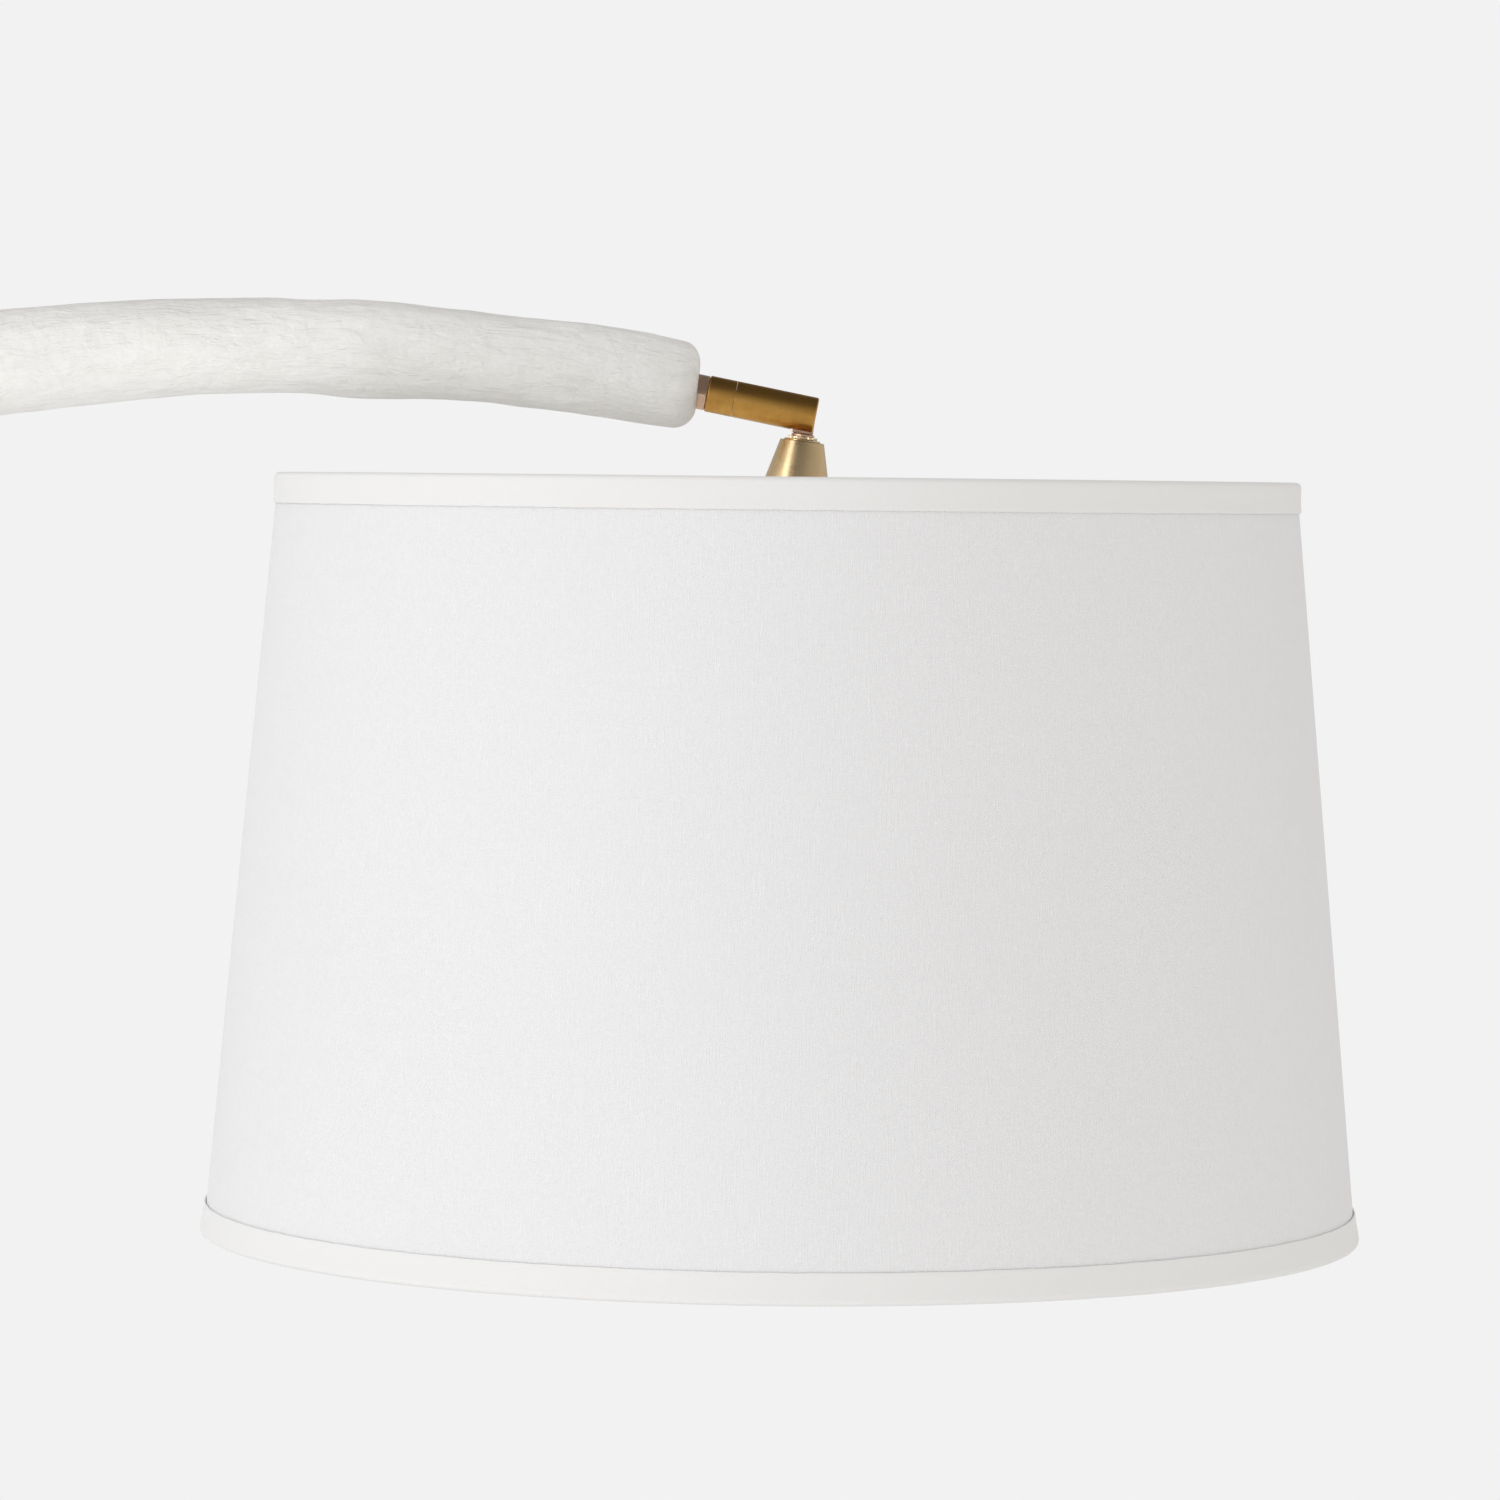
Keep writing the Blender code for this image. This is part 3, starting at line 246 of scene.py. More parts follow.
def filleted(points: Sequence[tuple[float, ...]], loop: bool, steps: int = 4) -> Outline:
    """Round the corners of a turned outline.

    Args:
        points: (radius, height) or (radius, height, fillet) corners.
        loop: whether the outline closes on itself.
        steps: how many steps a fillet has.

    Returns:
        The outline with an arc at each filleted corner.
    """
    count = len(points)
    outline: Outline = []
    for i, (x, y, *rest) in enumerate(points):
        corner = Vector((x, y))
        inside = loop or 0 < i < count - 1
        if not rest or not inside:
            outline.append((x, y))
            continue
        before = (Vector(points[i - 1][:2]) - corner).normalized()
        after = (Vector(points[(i + 1) % count][:2]) - corner).normalized()
        half = acos(max(-1.0, min(1.0, before.dot(after)))) / 2
        reach = rest[0] / tan(half)
        centre = corner + (before + after).normalized() * (rest[0] / sin(half))
        first = corner + before * reach - centre
        last = corner + after * reach - centre
        for step in range(steps + 1):
            spoke = first.lerp(last, step / steps).normalized() * rest[0]
            outline.append(tuple(centre + spoke))
    return outline


def spline(knots: Sequence[Vector], steps: int, loop: bool = False) -> list[Vector]:
    """Run a Catmull-Rom curve through some knots.

    Args:
        knots: the points to pass through.
        steps: how many points each span gets.
        loop: whether the curve closes on itself.

    Returns:
        The curve's points.
    """
    if loop:
        padded = [knots[-1], *knots, knots[0], knots[1]]
    else:
        padded = [knots[0] * 2 - knots[1], *knots, knots[-1] * 2 - knots[-2]]
    curve = []
    for p0, p1, p2, p3 in zip(padded, padded[1:], padded[2:], padded[3:]):
        for step in range(steps):
            t = step / steps
            cubic = (p1 * 3 - p0 - p2 * 3 + p3) * t ** 3
            square = (p0 * 2 - p1 * 5 + p2 * 4 - p3) * t ** 2
            curve.append((p1 * 2 + (p2 - p0) * t + square + cubic) / 2)
    if not loop:
        curve.append(knots[-1])
    return curve


@dataclass
class Skin:
    """A mesh skinned over a stack of rings of equal count."""

    name: str
    rings: list[Ring]
    joined: bool = False  # the last ring meets the first, as on a tube with a bore
    flat: Callable[[int, int], tuple[float, float]] | None = None  # (row, column) to metres
    sharp: float = 38.0

    def build(self, axes: Matrix | None = None) -> bpy.types.Object:
        """Make the object.

        Args:
            axes: where it stands; the world's own axes if None.

        Returns:
            The new object, smooth-shaded.
        """
        bm = bmesh.new()
        loops = [[bm.verts.new(point) for point in ring] for ring in self.rings]
        layer = bm.loops.layers.uv.new("flat")
        count = len(loops[0])
        rows = len(loops) if self.joined else len(loops) - 1
        for row in range(rows):
            near, far = loops[row], loops[(row + 1) % len(loops)]
            for i in range(count):
                j = (i + 1) % count
                face = bm.faces.new((near[i], near[j], far[j], far[i]))
                if self.flat:
                    corners = ((row, i), (row, i + 1), (row + 1, i + 1), (row + 1, i))
                    for corner, place in zip(face.loops, corners):
                        corner[layer].uv = self.flat(*place)
        if not self.joined:
            bm.faces.new(loops[0])
            bm.faces.new(loops[-1])
        bmesh.ops.remove_doubles(bm, verts=bm.verts, dist=1e-7)
        bmesh.ops.dissolve_degenerate(bm, dist=1e-8, edges=bm.edges)
        bmesh.ops.recalc_face_normals(bm, faces=bm.faces)
        mesh = bpy.data.meshes.new(self.name)
        bm.to_mesh(mesh)
        bm.free()
        mesh.shade_smooth()
        mesh.set_sharp_from_angle(angle=radians(self.sharp))
        made = bpy.data.objects.new(self.name, mesh)
        bpy.context.collection.objects.link(made)
        if axes is not None:
            made.matrix_world = axes
        return made


def turned(
    name: str,
    points: Sequence[tuple[float, ...]],
    axes: Matrix,
    sides: int = 96,
    solid: bool = False,
    relief: Callable[[float, float, float], float] | None = None,
) -> bpy.types.Object:
    """Turn an outline about the local Z axis.

    Args:
        name: the piece's name.
        points: its outline, as filleted() takes it.
        axes: the frame that it stands in.
        sides: how many sides it has.
        solid: whether the outline starts and ends on the axis, and doesn't close on itself.
        relief: what to add to the radius at (angle, radius, height).

    Returns:
        The new object.
    """
    outline = filleted(points, loop=not solid)
    lengths = [0.0]
    for (r0, z0), (r1, z1) in zip(outline, [*outline[1:], outline[0]]):
        lengths.append(lengths[-1] + hypot(r1 - r0, z1 - z0))
    mean = max(radius for radius, _ in outline)
    rings = []
    for radius, height in outline:
        ring = circle(radius, height, sides)
        if relief and radius:
            for i, point in enumerate(ring):
                point.xy *= 1 + relief(TURN * i / sides, radius, height) / radius
        rings.append(ring)
    return Skin(
        name, rings, joined=not solid, flat=lambda row, col: (lengths[row], mean * TURN * col / sides)
    ).build(axes)


def tube(name: str, path: Sequence[Vector], radii: Sequence[float], sides: int = 20) -> Skin:
    """Sweep a round section along a path.

    Args:
        name: the piece's name.
        path: the points of its centre line.
        radii: the radius at each point.
        sides: how many sides it has.

    Returns:
        The skin, with closed ends.
    """
    rings = []
    side = Vector((0, 0, 1)).cross(path[1] - path[0]).normalized()
    for i, (point, radius) in enumerate(zip(path, radii)):
        ahead = (path[min(i + 1, len(path) - 1)] - path[max(i - 1, 0)]).normalized()
        side = (side - ahead * side.dot(ahead)).normalized()
        up = ahead.cross(side)
        angles = [TURN * k / sides for k in range(sides)]
        rings.append([point + side * (radius * cos(a)) + up * (radius * sin(a)) for a in angles])
    return Skin(name, rings)


def drill(piece: bpy.types.Object, radius: float, start: Vector, end: Vector, sides: int = 40) -> None:
    """Cut a round hole through a piece.

    Args:
        piece: the piece to cut.
        radius: the hole's radius.
        start: one end of the hole, in the piece's own axes.
        end: its other end.
        sides: how many sides it has.
    """
    line = end - start
    turn = line.to_track_quat("Z", "Y").to_matrix().to_4x4()
    place = Matrix.Translation(start + line / 2) @ turn
    bm = bmesh.new()
    bmesh.ops.create_cone(
        bm, cap_ends=True, segments=sides, radius1=radius, radius2=radius, depth=line.length, matrix=place
    )
    carve(piece, bm)


def mill(piece: bpy.types.Object, low: Vector, high: Vector) -> None:
    """Cut a box-shaped slot between two corners, in the piece's own axes."""
    bm = bmesh.new()
    size = Matrix.Diagonal((*(high - low), 1.0))
    bmesh.ops.create_cube(bm, size=1.0, matrix=Matrix.Translation((low + high) / 2) @ size)
    carve(piece, bm)


def carve(piece: bpy.types.Object, bm: bmesh.types.BMesh) -> None:
    """Subtract a closed shape from a piece, and keep only the result.

    Args:
        piece: the piece to cut.
        bm: the shape, in the piece's own axes.
    """
    mesh = bpy.data.meshes.new("tool")
    bm.to_mesh(mesh)
    bm.free()
    tool = bpy.data.objects.new("tool", mesh)
    bpy.context.collection.objects.link(tool)
    tool.matrix_world = piece.matrix_world
    cut = piece.modifiers.new("cut", "BOOLEAN")
    cut.solver = "EXACT"
    cut.object = tool
    apply_modifiers(piece)
    bpy.data.objects.remove(tool, do_unlink=True)
    bpy.data.meshes.remove(mesh)


def apply_modifiers(piece: bpy.types.Object) -> None:
    """Replace a piece's mesh with its evaluated mesh, and drop its modifiers."""
    bpy.context.view_layer.update()
    graph = bpy.context.evaluated_depsgraph_get()
    mesh = bpy.data.meshes.new_from_object(piece.evaluated_get(graph))
    piece.modifiers.clear()
    piece.data = mesh


def soften(piece: bpy.types.Object, width: float, angle: float = 35.0) -> None:
    """Round a piece's sharp edges a little.

    Args:
        piece: the piece.
        width: how wide the rounding is.
        angle: edges sharper than this are rounded, in degrees.
    """
    bevel = piece.modifiers.new("edge", "BEVEL")
    bevel.width = width
    bevel.segments = 2
    bevel.limit_method = "ANGLE"
    bevel.angle_limit = radians(angle)
    bevel.use_clamp_overlap = True
    apply_modifiers(piece)
    piece.data.shade_smooth()
    piece.data.set_sharp_from_angle(angle=radians(50))


# --------------------------------------------------------------------------------------------
# Shader tools
# --------------------------------------------------------------------------------------------
class Graph:
    """A node tree with short ways to add nodes and join them."""

    def __init__(self, tree: bpy.types.NodeTree) -> None:
        """Work on a tree that already exists."""
        self.tree = tree

    def node(self, kind: str, **settings: object) -> bpy.types.Node:
        """Add a node.

        Args:
            kind: the node's type.
            settings: values for its own properties.

        Returns:
            The new node.
        """
        made = self.tree.nodes.new(kind)
        for name, value in settings.items():
            setattr(made, name, value)
        return made

    def feed(self, socket: bpy.types.NodeSocket, value: object) -> None:
        """Link a socket to another one, or set it to a plain value."""
        if isinstance(value, bpy.types.NodeSocket):
            self.tree.links.new(value, socket)
        else:
            socket.default_value = value

    def math(self, operation: str, *values: object) -> bpy.types.NodeSocket:
        """Add a Math node and return its result."""
        made = self.node("ShaderNodeMath", operation=operation)
        for socket, value in zip(made.inputs, values):
            self.feed(socket, value)
        return made.outputs[0]

    def ramp(self, value: object, *spans: float) -> bpy.types.NodeSocket:
        """Map a value from one span to another.

        Args:
            value: the value to map.
            spans: from-low, from-high, to-low and to-high.

        Returns:
            The mapped value, held inside its new span.
        """
        made = self.node("ShaderNodeMapRange")
        for socket, given in zip(made.inputs, (value, *spans)):
            self.feed(socket, given)
        return made.outputs[0]

    def mix(self, part: object, first: object, second: object, blend: str = "MIX") -> bpy.types.NodeSocket:
        """Mix two colours.

        Args:
            part: how much of the second.
            first: the first colour.
            second: the second colour.
            blend: how they mix.

        Returns:
            The mixed colour.
        """
        made = self.node("ShaderNodeMix", data_type="RGBA", blend_type=blend)
        self.feed(made.inputs["Factor"], part)
        self.feed(made.inputs["A"], first)
        self.feed(made.inputs["B"], second)
        return made.outputs["Result"]

    def stretch(self, vector: object, scale: Sequence[float]) -> bpy.types.NodeSocket:
        """Scale a vector by a fixed amount along each axis."""
        made = self.node("ShaderNodeVectorMath", operation="MULTIPLY")
        self.feed(made.inputs[0], vector)
        made.inputs[1].default_value = scale
        return made.outputs[0]

    def noise(
        self, vector: object, scale: float, detail: float = 2.0, rough: float = 0.5
    ) -> bpy.types.NodeSocket:
        """Read fractal noise.

        Args:
            vector: where to read it.
            scale: how fine it is.
            detail: how many finer layers it has.
            rough: how strong those layers are.

        Returns:
            The noise value, about 0.5 on average.
        """
        made = self.node("ShaderNodeTexNoise")
        self.feed(made.inputs["Vector"], vector)
        made.inputs["Scale"].default_value = scale
        made.inputs["Detail"].default_value = detail
        made.inputs["Roughness"].default_value = rough
        return made.outputs[0]


class Effects:
    """The shared shader effects, each a node group that is built once."""

    made: dict[str, bpy.types.NodeTree] = {}

    @classmethod
    def group(
        cls, name: str, inputs: dict[str, object], outputs: Iterable[str]
    ) -> tuple[Graph, object, object]:
        """Start a group.

        Args:
            name: its name.
            inputs: each input's name and its default; None is a vector.
            outputs: the names of its outputs.

        Returns:
            The graph to build in, its input sockets and its output sockets.
        """
        tree = bpy.data.node_groups.new(name, "ShaderNodeTree")
        for label, default in inputs.items():
            kind = "NodeSocketVector" if default is None else "NodeSocketFloat"
            socket = tree.interface.new_socket(label, in_out="INPUT", socket_type=kind)
            if default is not None:
                socket.default_value = default
        for label in outputs:
            tree.interface.new_socket(label, in_out="OUTPUT", socket_type="NodeSocketFloat")
        graph = Graph(tree)
        start = graph.node("NodeGroupInput")
        end = graph.node("NodeGroupOutput")
        cls.made[name] = tree
        return graph, start.outputs, end.inputs

    @classmethod
    def use(cls, graph: Graph, name: str, **values: object) -> object:
        """Place an effect in a material.

        Args:
            graph: the material's graph.
            name: the effect's name.
            values: its inputs, by name.

        Returns:
            The placed group's outputs.
        """
        if name not in cls.made:
            getattr(cls, "build_" + name)()
        made = graph.node("ShaderNodeGroup")
        made.node_tree = cls.made[name]
        for label, value in values.items():
            graph.feed(made.inputs[label], value)
        return made.outputs

    @classmethod
    def build_weave(cls) -> None:
        """Plain weave with slubs: Height, and Thread, which is light on raised yarns."""
        graph, given, out = cls.group(
            "weave", {"Flat": None, "Pitch": 0.0006, "Slub": 1.0}, ("Height", "Thread")
        )
        split = graph.node("ShaderNodeSeparateXYZ")
        graph.feed(split.inputs[0], given["Flat"])
        drift = graph.noise(given["Flat"], 60.0, 2.0)
        sway = graph.math("MULTIPLY", graph.math("SUBTRACT", drift, 0.5), 0.0008)
        waves = []
        for axis in (0, 1):
            place = graph.math("ADD", split.outputs[axis], sway)
            turns = graph.math("DIVIDE", place, given["Pitch"])
            waves.append(graph.math("SINE", graph.math("MULTIPLY", turns, pi)))
        checker = graph.math("MULTIPLY", waves[0], waves[1])
        warp = graph.noise(graph.stretch(given["Flat"], (240.0, 1700.0, 1.0)), 1.0, 2.0, 0.6)
        long_slub = graph.noise(graph.stretch(given["Flat"], (70.0, 1250.0, 1.0)), 1.0, 2.0, 0.6)
        weft = graph.noise(graph.stretch(given["Flat"], (1500.0, 260.0, 1.0)), 1.0, 2.0, 0.6)
        slubs = graph.ramp(long_slub, 0.5, 0.72, 0.0, 1.0)
        yarn = graph.math("ADD", graph.math("MULTIPLY", warp, 0.6), graph.math("MULTIPLY", weft, 0.4))
        slubbed = graph.math("MULTIPLY", slubs, given["Slub"])
        raised = graph.math("MULTIPLY_ADD", slubbed, 0.35, yarn)
        graph.feed(out["Height"], graph.math("MULTIPLY_ADD", checker, 0.12, raised))
        graph.feed(out["Thread"], graph.ramp(raised, 0.3, 0.95, 0.0, 1.0))

    @classmethod
    def build_strokes(cls) -> None:
        """Short brush strokes in wet plaster: Height, Tone and Gloss."""
        graph, given, out = cls.group("strokes", {"Flat": None, "Depth": 1.0}, ("Height", "Tone", "Gloss"))
        bend = graph.noise(given["Flat"], 32.0, 2.0)
        shift = graph.node("ShaderNodeCombineXYZ")
        graph.feed(shift.inputs[1], graph.math("MULTIPLY", graph.math("SUBTRACT", bend, 0.5), 0.014))
        moved = graph.node("ShaderNodeVectorMath", operation="ADD")
        graph.feed(moved.inputs[0], given["Flat"])
        graph.feed(moved.inputs[1], shift.outputs[0])
        place = moved.outputs[0]
        bristle = graph.noise(graph.stretch(place, (75.0, 620.0, 1.0)), 1.0, 4.0, 0.6)
        swathe = graph.noise(graph.stretch(place, (38.0, 110.0, 1.0)), 1.0, 3.0, 0.55)
        dabs = graph.noise(graph.stretch(place, (130.0, 95.0, 1.0)), 1.0, 3.0, 0.6)
        body = graph.math("MULTIPLY_ADD", swathe, 0.5, graph.math("MULTIPLY", bristle, 0.22))
        height = graph.math("MULTIPLY_ADD", dabs, 0.35, body)
        graph.feed(out["Height"], graph.math("MULTIPLY", height, given["Depth"]))
        graph.feed(out["Tone"], graph.ramp(body, 0.26, 0.46, 0.0, 1.0))
        graph.feed(out["Gloss"], graph.ramp(bristle, 0.3, 0.75, 0.0, 1.0))

    @classmethod
    def build_grain(cls) -> None:
        """Fine lathe or brush lines round the local Z axis: Height and Line."""
        graph, given, out = cls.group("grain", {"Place": None, "Depth": 1.0}, ("Height", "Line"))
        fine = graph.noise(graph.stretch(given["Place"], (25.0, 25.0, 5200.0)), 1.0, 3.0, 0.6)
        broad = graph.noise(graph.stretch(given["Place"], (60.0, 60.0, 900.0)), 1.0, 2.0, 0.5)
        line = graph.math("MULTIPLY_ADD", broad, 0.35, graph.math("MULTIPLY", fine, 0.65))
        graph.feed(out["Height"], graph.math("MULTIPLY", line, given["Depth"]))
        graph.feed(out["Line"], graph.ramp(line, 0.35, 0.65, 0.0, 1.0))

    @classmethod
    def build_patina(cls) -> None:
        """Cloudy ageing: Mask, for tone, and Spot, for small dark marks."""
        graph, given, out = cls.group("patina", {"Place": None, "Scale": 1.0}, ("Mask", "Spot"))
        spread = graph.node("ShaderNodeVectorMath", operation="SCALE")
        graph.feed(spread.inputs[0], given["Place"])
        graph.feed(spread.inputs["Scale"], given["Scale"])
        cloud = graph.noise(spread.outputs[0], 1.0, 5.0, 0.62)
        speck = graph.noise(spread.outputs[0], 9.0, 2.0, 0.5)
        graph.feed(out["Mask"], graph.ramp(cloud, 0.35, 0.68, 0.0, 1.0))
        graph.feed(out["Spot"], graph.ramp(speck, 0.62, 0.74, 0.0, 1.0))

    @classmethod
    def build_wear(cls) -> None:
        """Rubbed edges: Edge is 1 on outer corners and Hollow in inner ones, broken up by noise."""
        graph, given, out = cls.group("wear", {"Place": None, "Amount": 1.0}, ("Edge", "Hollow"))
        shape = graph.node("ShaderNodeNewGeometry").outputs["Pointiness"]
        broken = graph.noise(given["Place"], 900.0, 3.0, 0.6)
        nudged = graph.math("MULTIPLY_ADD", graph.math("SUBTRACT", broken, 0.5), 0.05, shape)
        edge = graph.ramp(nudged, 0.52, 0.6, 0.0, 1.0)
        graph.feed(out["Edge"], graph.math("MULTIPLY", edge, given["Amount"]))
        graph.feed(out["Hollow"], graph.ramp(nudged, 0.48, 0.4, 0.0, 1.0))


@dataclass(frozen=True)
class Finish:
    """A finish, named after the record's material slot, that makes one material."""

    slot: str
    colour: tuple[float, float, float]
    shade: tuple[float, float, float]
    roughness: float

    def principled(self, name: str) -> tuple[Graph, bpy.types.Material, bpy.types.Node]:
        """Start a material.

        Args:
            name: the material's name.

        Returns:
            Its graph, the material and its Principled shader.
        """
        made = bpy.data.materials.new(name)
        made.use_nodes = True
        graph = Graph(made.node_tree)
        shader = made.node_tree.nodes["Principled BSDF"]
        shader.inputs["Roughness"].default_value = self.roughness
        return graph, made, shader

    def place(self, graph: Graph) -> bpy.types.NodeSocket:
        """The piece's own axes, in metres."""
        return graph.node("ShaderNodeTexCoord").outputs["Object"]

    def flat(self, graph: Graph) -> bpy.types.NodeSocket:
        """The surface laid out flat, in metres."""
        return graph.node("ShaderNodeUVMap", uv_map="flat").outputs["UV"]

    def bump(
        self, graph: Graph, shader: bpy.types.Node, height: object, distance: float, strength: float
    ) -> None:
        """Feed a height through a Bump node to the shader's normal.

        Args:
            graph: the material's graph.
            shader: its Principled shader.
            height: the height, about 0 to 1.
            distance: what 1 stands for, in metres.
            strength: how much of it shows.
        """
        made = graph.node("ShaderNodeBump")
        made.inputs["Distance"].default_value = distance
        made.inputs["Strength"].default_value = strength
        graph.feed(made.inputs["Height"], height)
        graph.feed(shader.inputs["Normal"], made.outputs[0])

    def material(self) -> bpy.types.Material:
        """Make the material; each finish has its own way."""
        raise NotImplementedError


@dataclass(frozen=True)
class Plaster(Finish):
    """Brushed resin plaster with a low sheen."""

    depth: float = 1.0

    def material(self) -> bpy.types.Material:
        """Strokes along the piece, soft clouds of tone and a thin uneven gloss."""
        graph, made, shader = self.principled(self.slot)
        stroke = Effects.use(graph, "strokes", Flat=self.flat(graph), Depth=self.depth)
        cloud = Effects.use(graph, "patina", Place=self.place(graph), Scale=9.0)
        light = (*self.colour, 1.0)
        warm = (*self.shade, 1.0)
        tone = graph.mix(graph.math("MULTIPLY", cloud["Mask"], 0.55), light, warm)
        pale = graph.mix(graph.math("MULTIPLY", stroke["Tone"], 0.8), tone, light)
        speck = graph.math("MULTIPLY", cloud["Spot"], 0.05)
        graph.feed(shader.inputs["Base Color"], graph.mix(speck, pale, (0.62, 0.57, 0.48, 1.0)))
        gloss = graph.ramp(stroke["Gloss"], 0.0, 1.0, self.roughness + 0.12, self.roughness - 0.1)
        graph.feed(shader.inputs["Roughness"], gloss)
        shader.inputs["Specular IOR Level"].default_value = 0.45
        self.bump(graph, shader, stroke["Height"], 0.004, 0.9)
        return made


@dataclass(frozen=True)
class Weave(Finish):
    """Woven cloth: linen, or the closer tape of the trims."""

    pitch: float = 0.6 * MM
    slub: float = 1.0
    depth: float = 0.35 * MM
    contrast: float = 0.5

    def material(self) -> bpy.types.Material:
        """Yarns with their own tone, and a soft sheen."""
        graph, made, shader = self.principled(self.slot)
        weave = Effects.use(graph, "weave", Flat=self.flat(graph), Pitch=self.pitch, Slub=self.slub)
        cloud = Effects.use(graph, "patina", Place=self.place(graph), Scale=6.0)
        yarn = graph.ramp(weave["Thread"], 0.0, 1.0, self.contrast, 0.0)
        cloth = graph.mix(yarn, (*self.colour, 1.0), (*self.shade, 1.0))
        drift = graph.math("MULTIPLY", cloud["Mask"], 0.12)
        graph.feed(shader.inputs["Base Color"], graph.mix(drift, cloth, (*self.shade, 1.0)))
        graph.feed(shader.inputs["Roughness"], graph.ramp(weave["Thread"], 0.0, 1.0, 0.95, 0.8))
        shader.inputs["Specular IOR Level"].default_value = 0.2
        shader.inputs["Sheen Weight"].default_value = 0.08
        shader.inputs["Sheen Roughness"].default_value = 0.5
        self.bump(graph, shader, weave["Height"], self.depth, 0.6)
        return made


@dataclass(frozen=True)
class Brass(Finish):
    """Turned brass, tarnished unevenly."""

    age: float = 0.5
    grain: float = 1.0

    def material(self) -> bpy.types.Material:
        """Lathe lines, clouds of tarnish, and bright rubbed edges."""
        graph, made, shader = self.principled(self.slot)
        shader.inputs["Metallic"].default_value = 1.0
        place = self.place(graph)
        line = Effects.use(graph, "grain", Place=place, Depth=self.grain)
        cloud = Effects.use(graph, "patina", Place=place, Scale=85.0)
        wear = Effects.use(graph, "wear", Place=place, Amount=0.6)
        aged = graph.mix(
            graph.math("MULTIPLY", cloud["Mask"], self.age), (*self.colour, 1.0), (*self.shade, 1.0)
        )
        lined = graph.mix(graph.math("MULTIPLY", line["Line"], 0.22), aged, (*self.shade, 1.0))
        sunk = graph.mix(graph.math("MULTIPLY", wear["Hollow"], 0.7), lined, (0.09, 0.05, 0.02, 1.0))
        bright = graph.mix(wear["Edge"], sunk, (0.86, 0.72, 0.48, 1.0))
        graph.feed(shader.inputs["Base Color"], bright)
        dull = graph.math("MULTIPLY_ADD", cloud["Mask"], 0.16, self.roughness)
        graph.feed(shader.inputs["Roughness"], graph.math("MULTIPLY_ADD", line["Line"], 0.1, dull))
        self.bump(graph, shader, line["Height"], 0.0001, 0.4)
        return made


@dataclass(frozen=True)
class Metal(Finish):
    """Plain steel or cast iron."""

    grain: float = 0.6
    pitted: float = 0.0

    def material(self) -> bpy.types.Material:
        """Fine lines, faint clouds and, on a casting, a sandy skin."""
        graph, made, shader = self.principled(self.slot)
        shader.inputs["Metallic"].default_value = 1.0
        place = self.place(graph)
        line = Effects.use(graph, "grain", Place=place, Depth=self.grain)
        cloud = Effects.use(graph, "patina", Place=place, Scale=60.0)
        tone = graph.mix(graph.math("MULTIPLY", cloud["Mask"], 0.6), (*self.colour, 1.0), (*self.shade, 1.0))
        graph.feed(shader.inputs["Base Color"], tone)
        dull = graph.math("MULTIPLY_ADD", cloud["Mask"], 0.15, self.roughness)
        graph.feed(shader.inputs["Roughness"], dull)
        sand = graph.noise(place, 700.0, 3.0, 0.6)
        height = graph.math("MULTIPLY_ADD", sand, self.pitted, line["Height"])
        self.bump(graph, shader, height, 0.0002, 0.4)
        return made


@dataclass(frozen=True)
class Moulding(Finish):
    """Moulded or enamelled surfaces: the socket, the wires, the liner and the lead."""

    texture: float = 300.0
    relief: float = 0.00008
    clouds: float = 0.3

    def material(self) -> bpy.types.Material:
        """An even skin with a little orange peel, soft clouds of tone and rubbed corners."""
        graph, made, shader = self.principled(self.slot)
        place = self.place(graph)
        cloud = Effects.use(graph, "patina", Place=place, Scale=40.0)
        wear = Effects.use(graph, "wear", Place=place, Amount=0.35)
        tone = graph.mix(
            graph.math("MULTIPLY", cloud["Mask"], self.clouds), (*self.colour, 1.0), (*self.shade, 1.0)
        )
        rubbed = graph.mix(wear["Edge"], tone, (*self.shade, 1.0))
        graph.feed(shader.inputs["Base Color"], rubbed)
        dull = graph.math("MULTIPLY_ADD", cloud["Mask"], 0.12, self.roughness)
        graph.feed(shader.inputs["Roughness"], dull)
        self.bump(graph, shader, graph.noise(place, self.texture, 3.0, 0.5), self.relief, 0.5)
        return made


@dataclass(frozen=True)
class Felt(Finish):
    """Pressed wool felt."""

    def material(self) -> bpy.types.Material:
        """Matted fibres in two tones."""
        graph, made, shader = self.principled(self.slot)
        place = self.place(graph)
        fibre = graph.noise(place, 1500.0, 4.0, 0.7)
        tone = graph.mix(graph.ramp(fibre, 0.35, 0.65, 0.0, 1.0), (*self.shade, 1.0), (*self.colour, 1.0))
        graph.feed(shader.inputs["Base Color"], tone)
        shader.inputs["Sheen Weight"].default_value = 0.4
        self.bump(graph, shader, fibre, 0.0006, 0.8)
        return made


@dataclass(frozen=True)
class FrostedGlass(Finish):
    """A white frosted bulb."""

    def material(self) -> bpy.types.Material:
        """Milky glass with a fine etched skin and a soft mottle."""
        graph, made, shader = self.principled(self.slot)
        shader.inputs["Transmission Weight"].default_value = 0.25
        shader.inputs["IOR"].default_value = 1.46
        place = self.place(graph)
        mottle = graph.noise(place, 70.0, 3.0, 0.5)
        tone = graph.mix(graph.ramp(mottle, 0.35, 0.65, 0.0, 1.0), (*self.colour, 1.0), (*self.shade, 1.0))
        graph.feed(shader.inputs["Base Color"], tone)
        etch = graph.noise(place, 2500.0, 2.0, 0.6)
        frost = graph.ramp(etch, 0.3, 0.7, self.roughness, self.roughness + 0.12)
        graph.feed(shader.inputs["Roughness"], frost)
        self.bump(graph, shader, etch, 0.00004, 0.4)
        return made


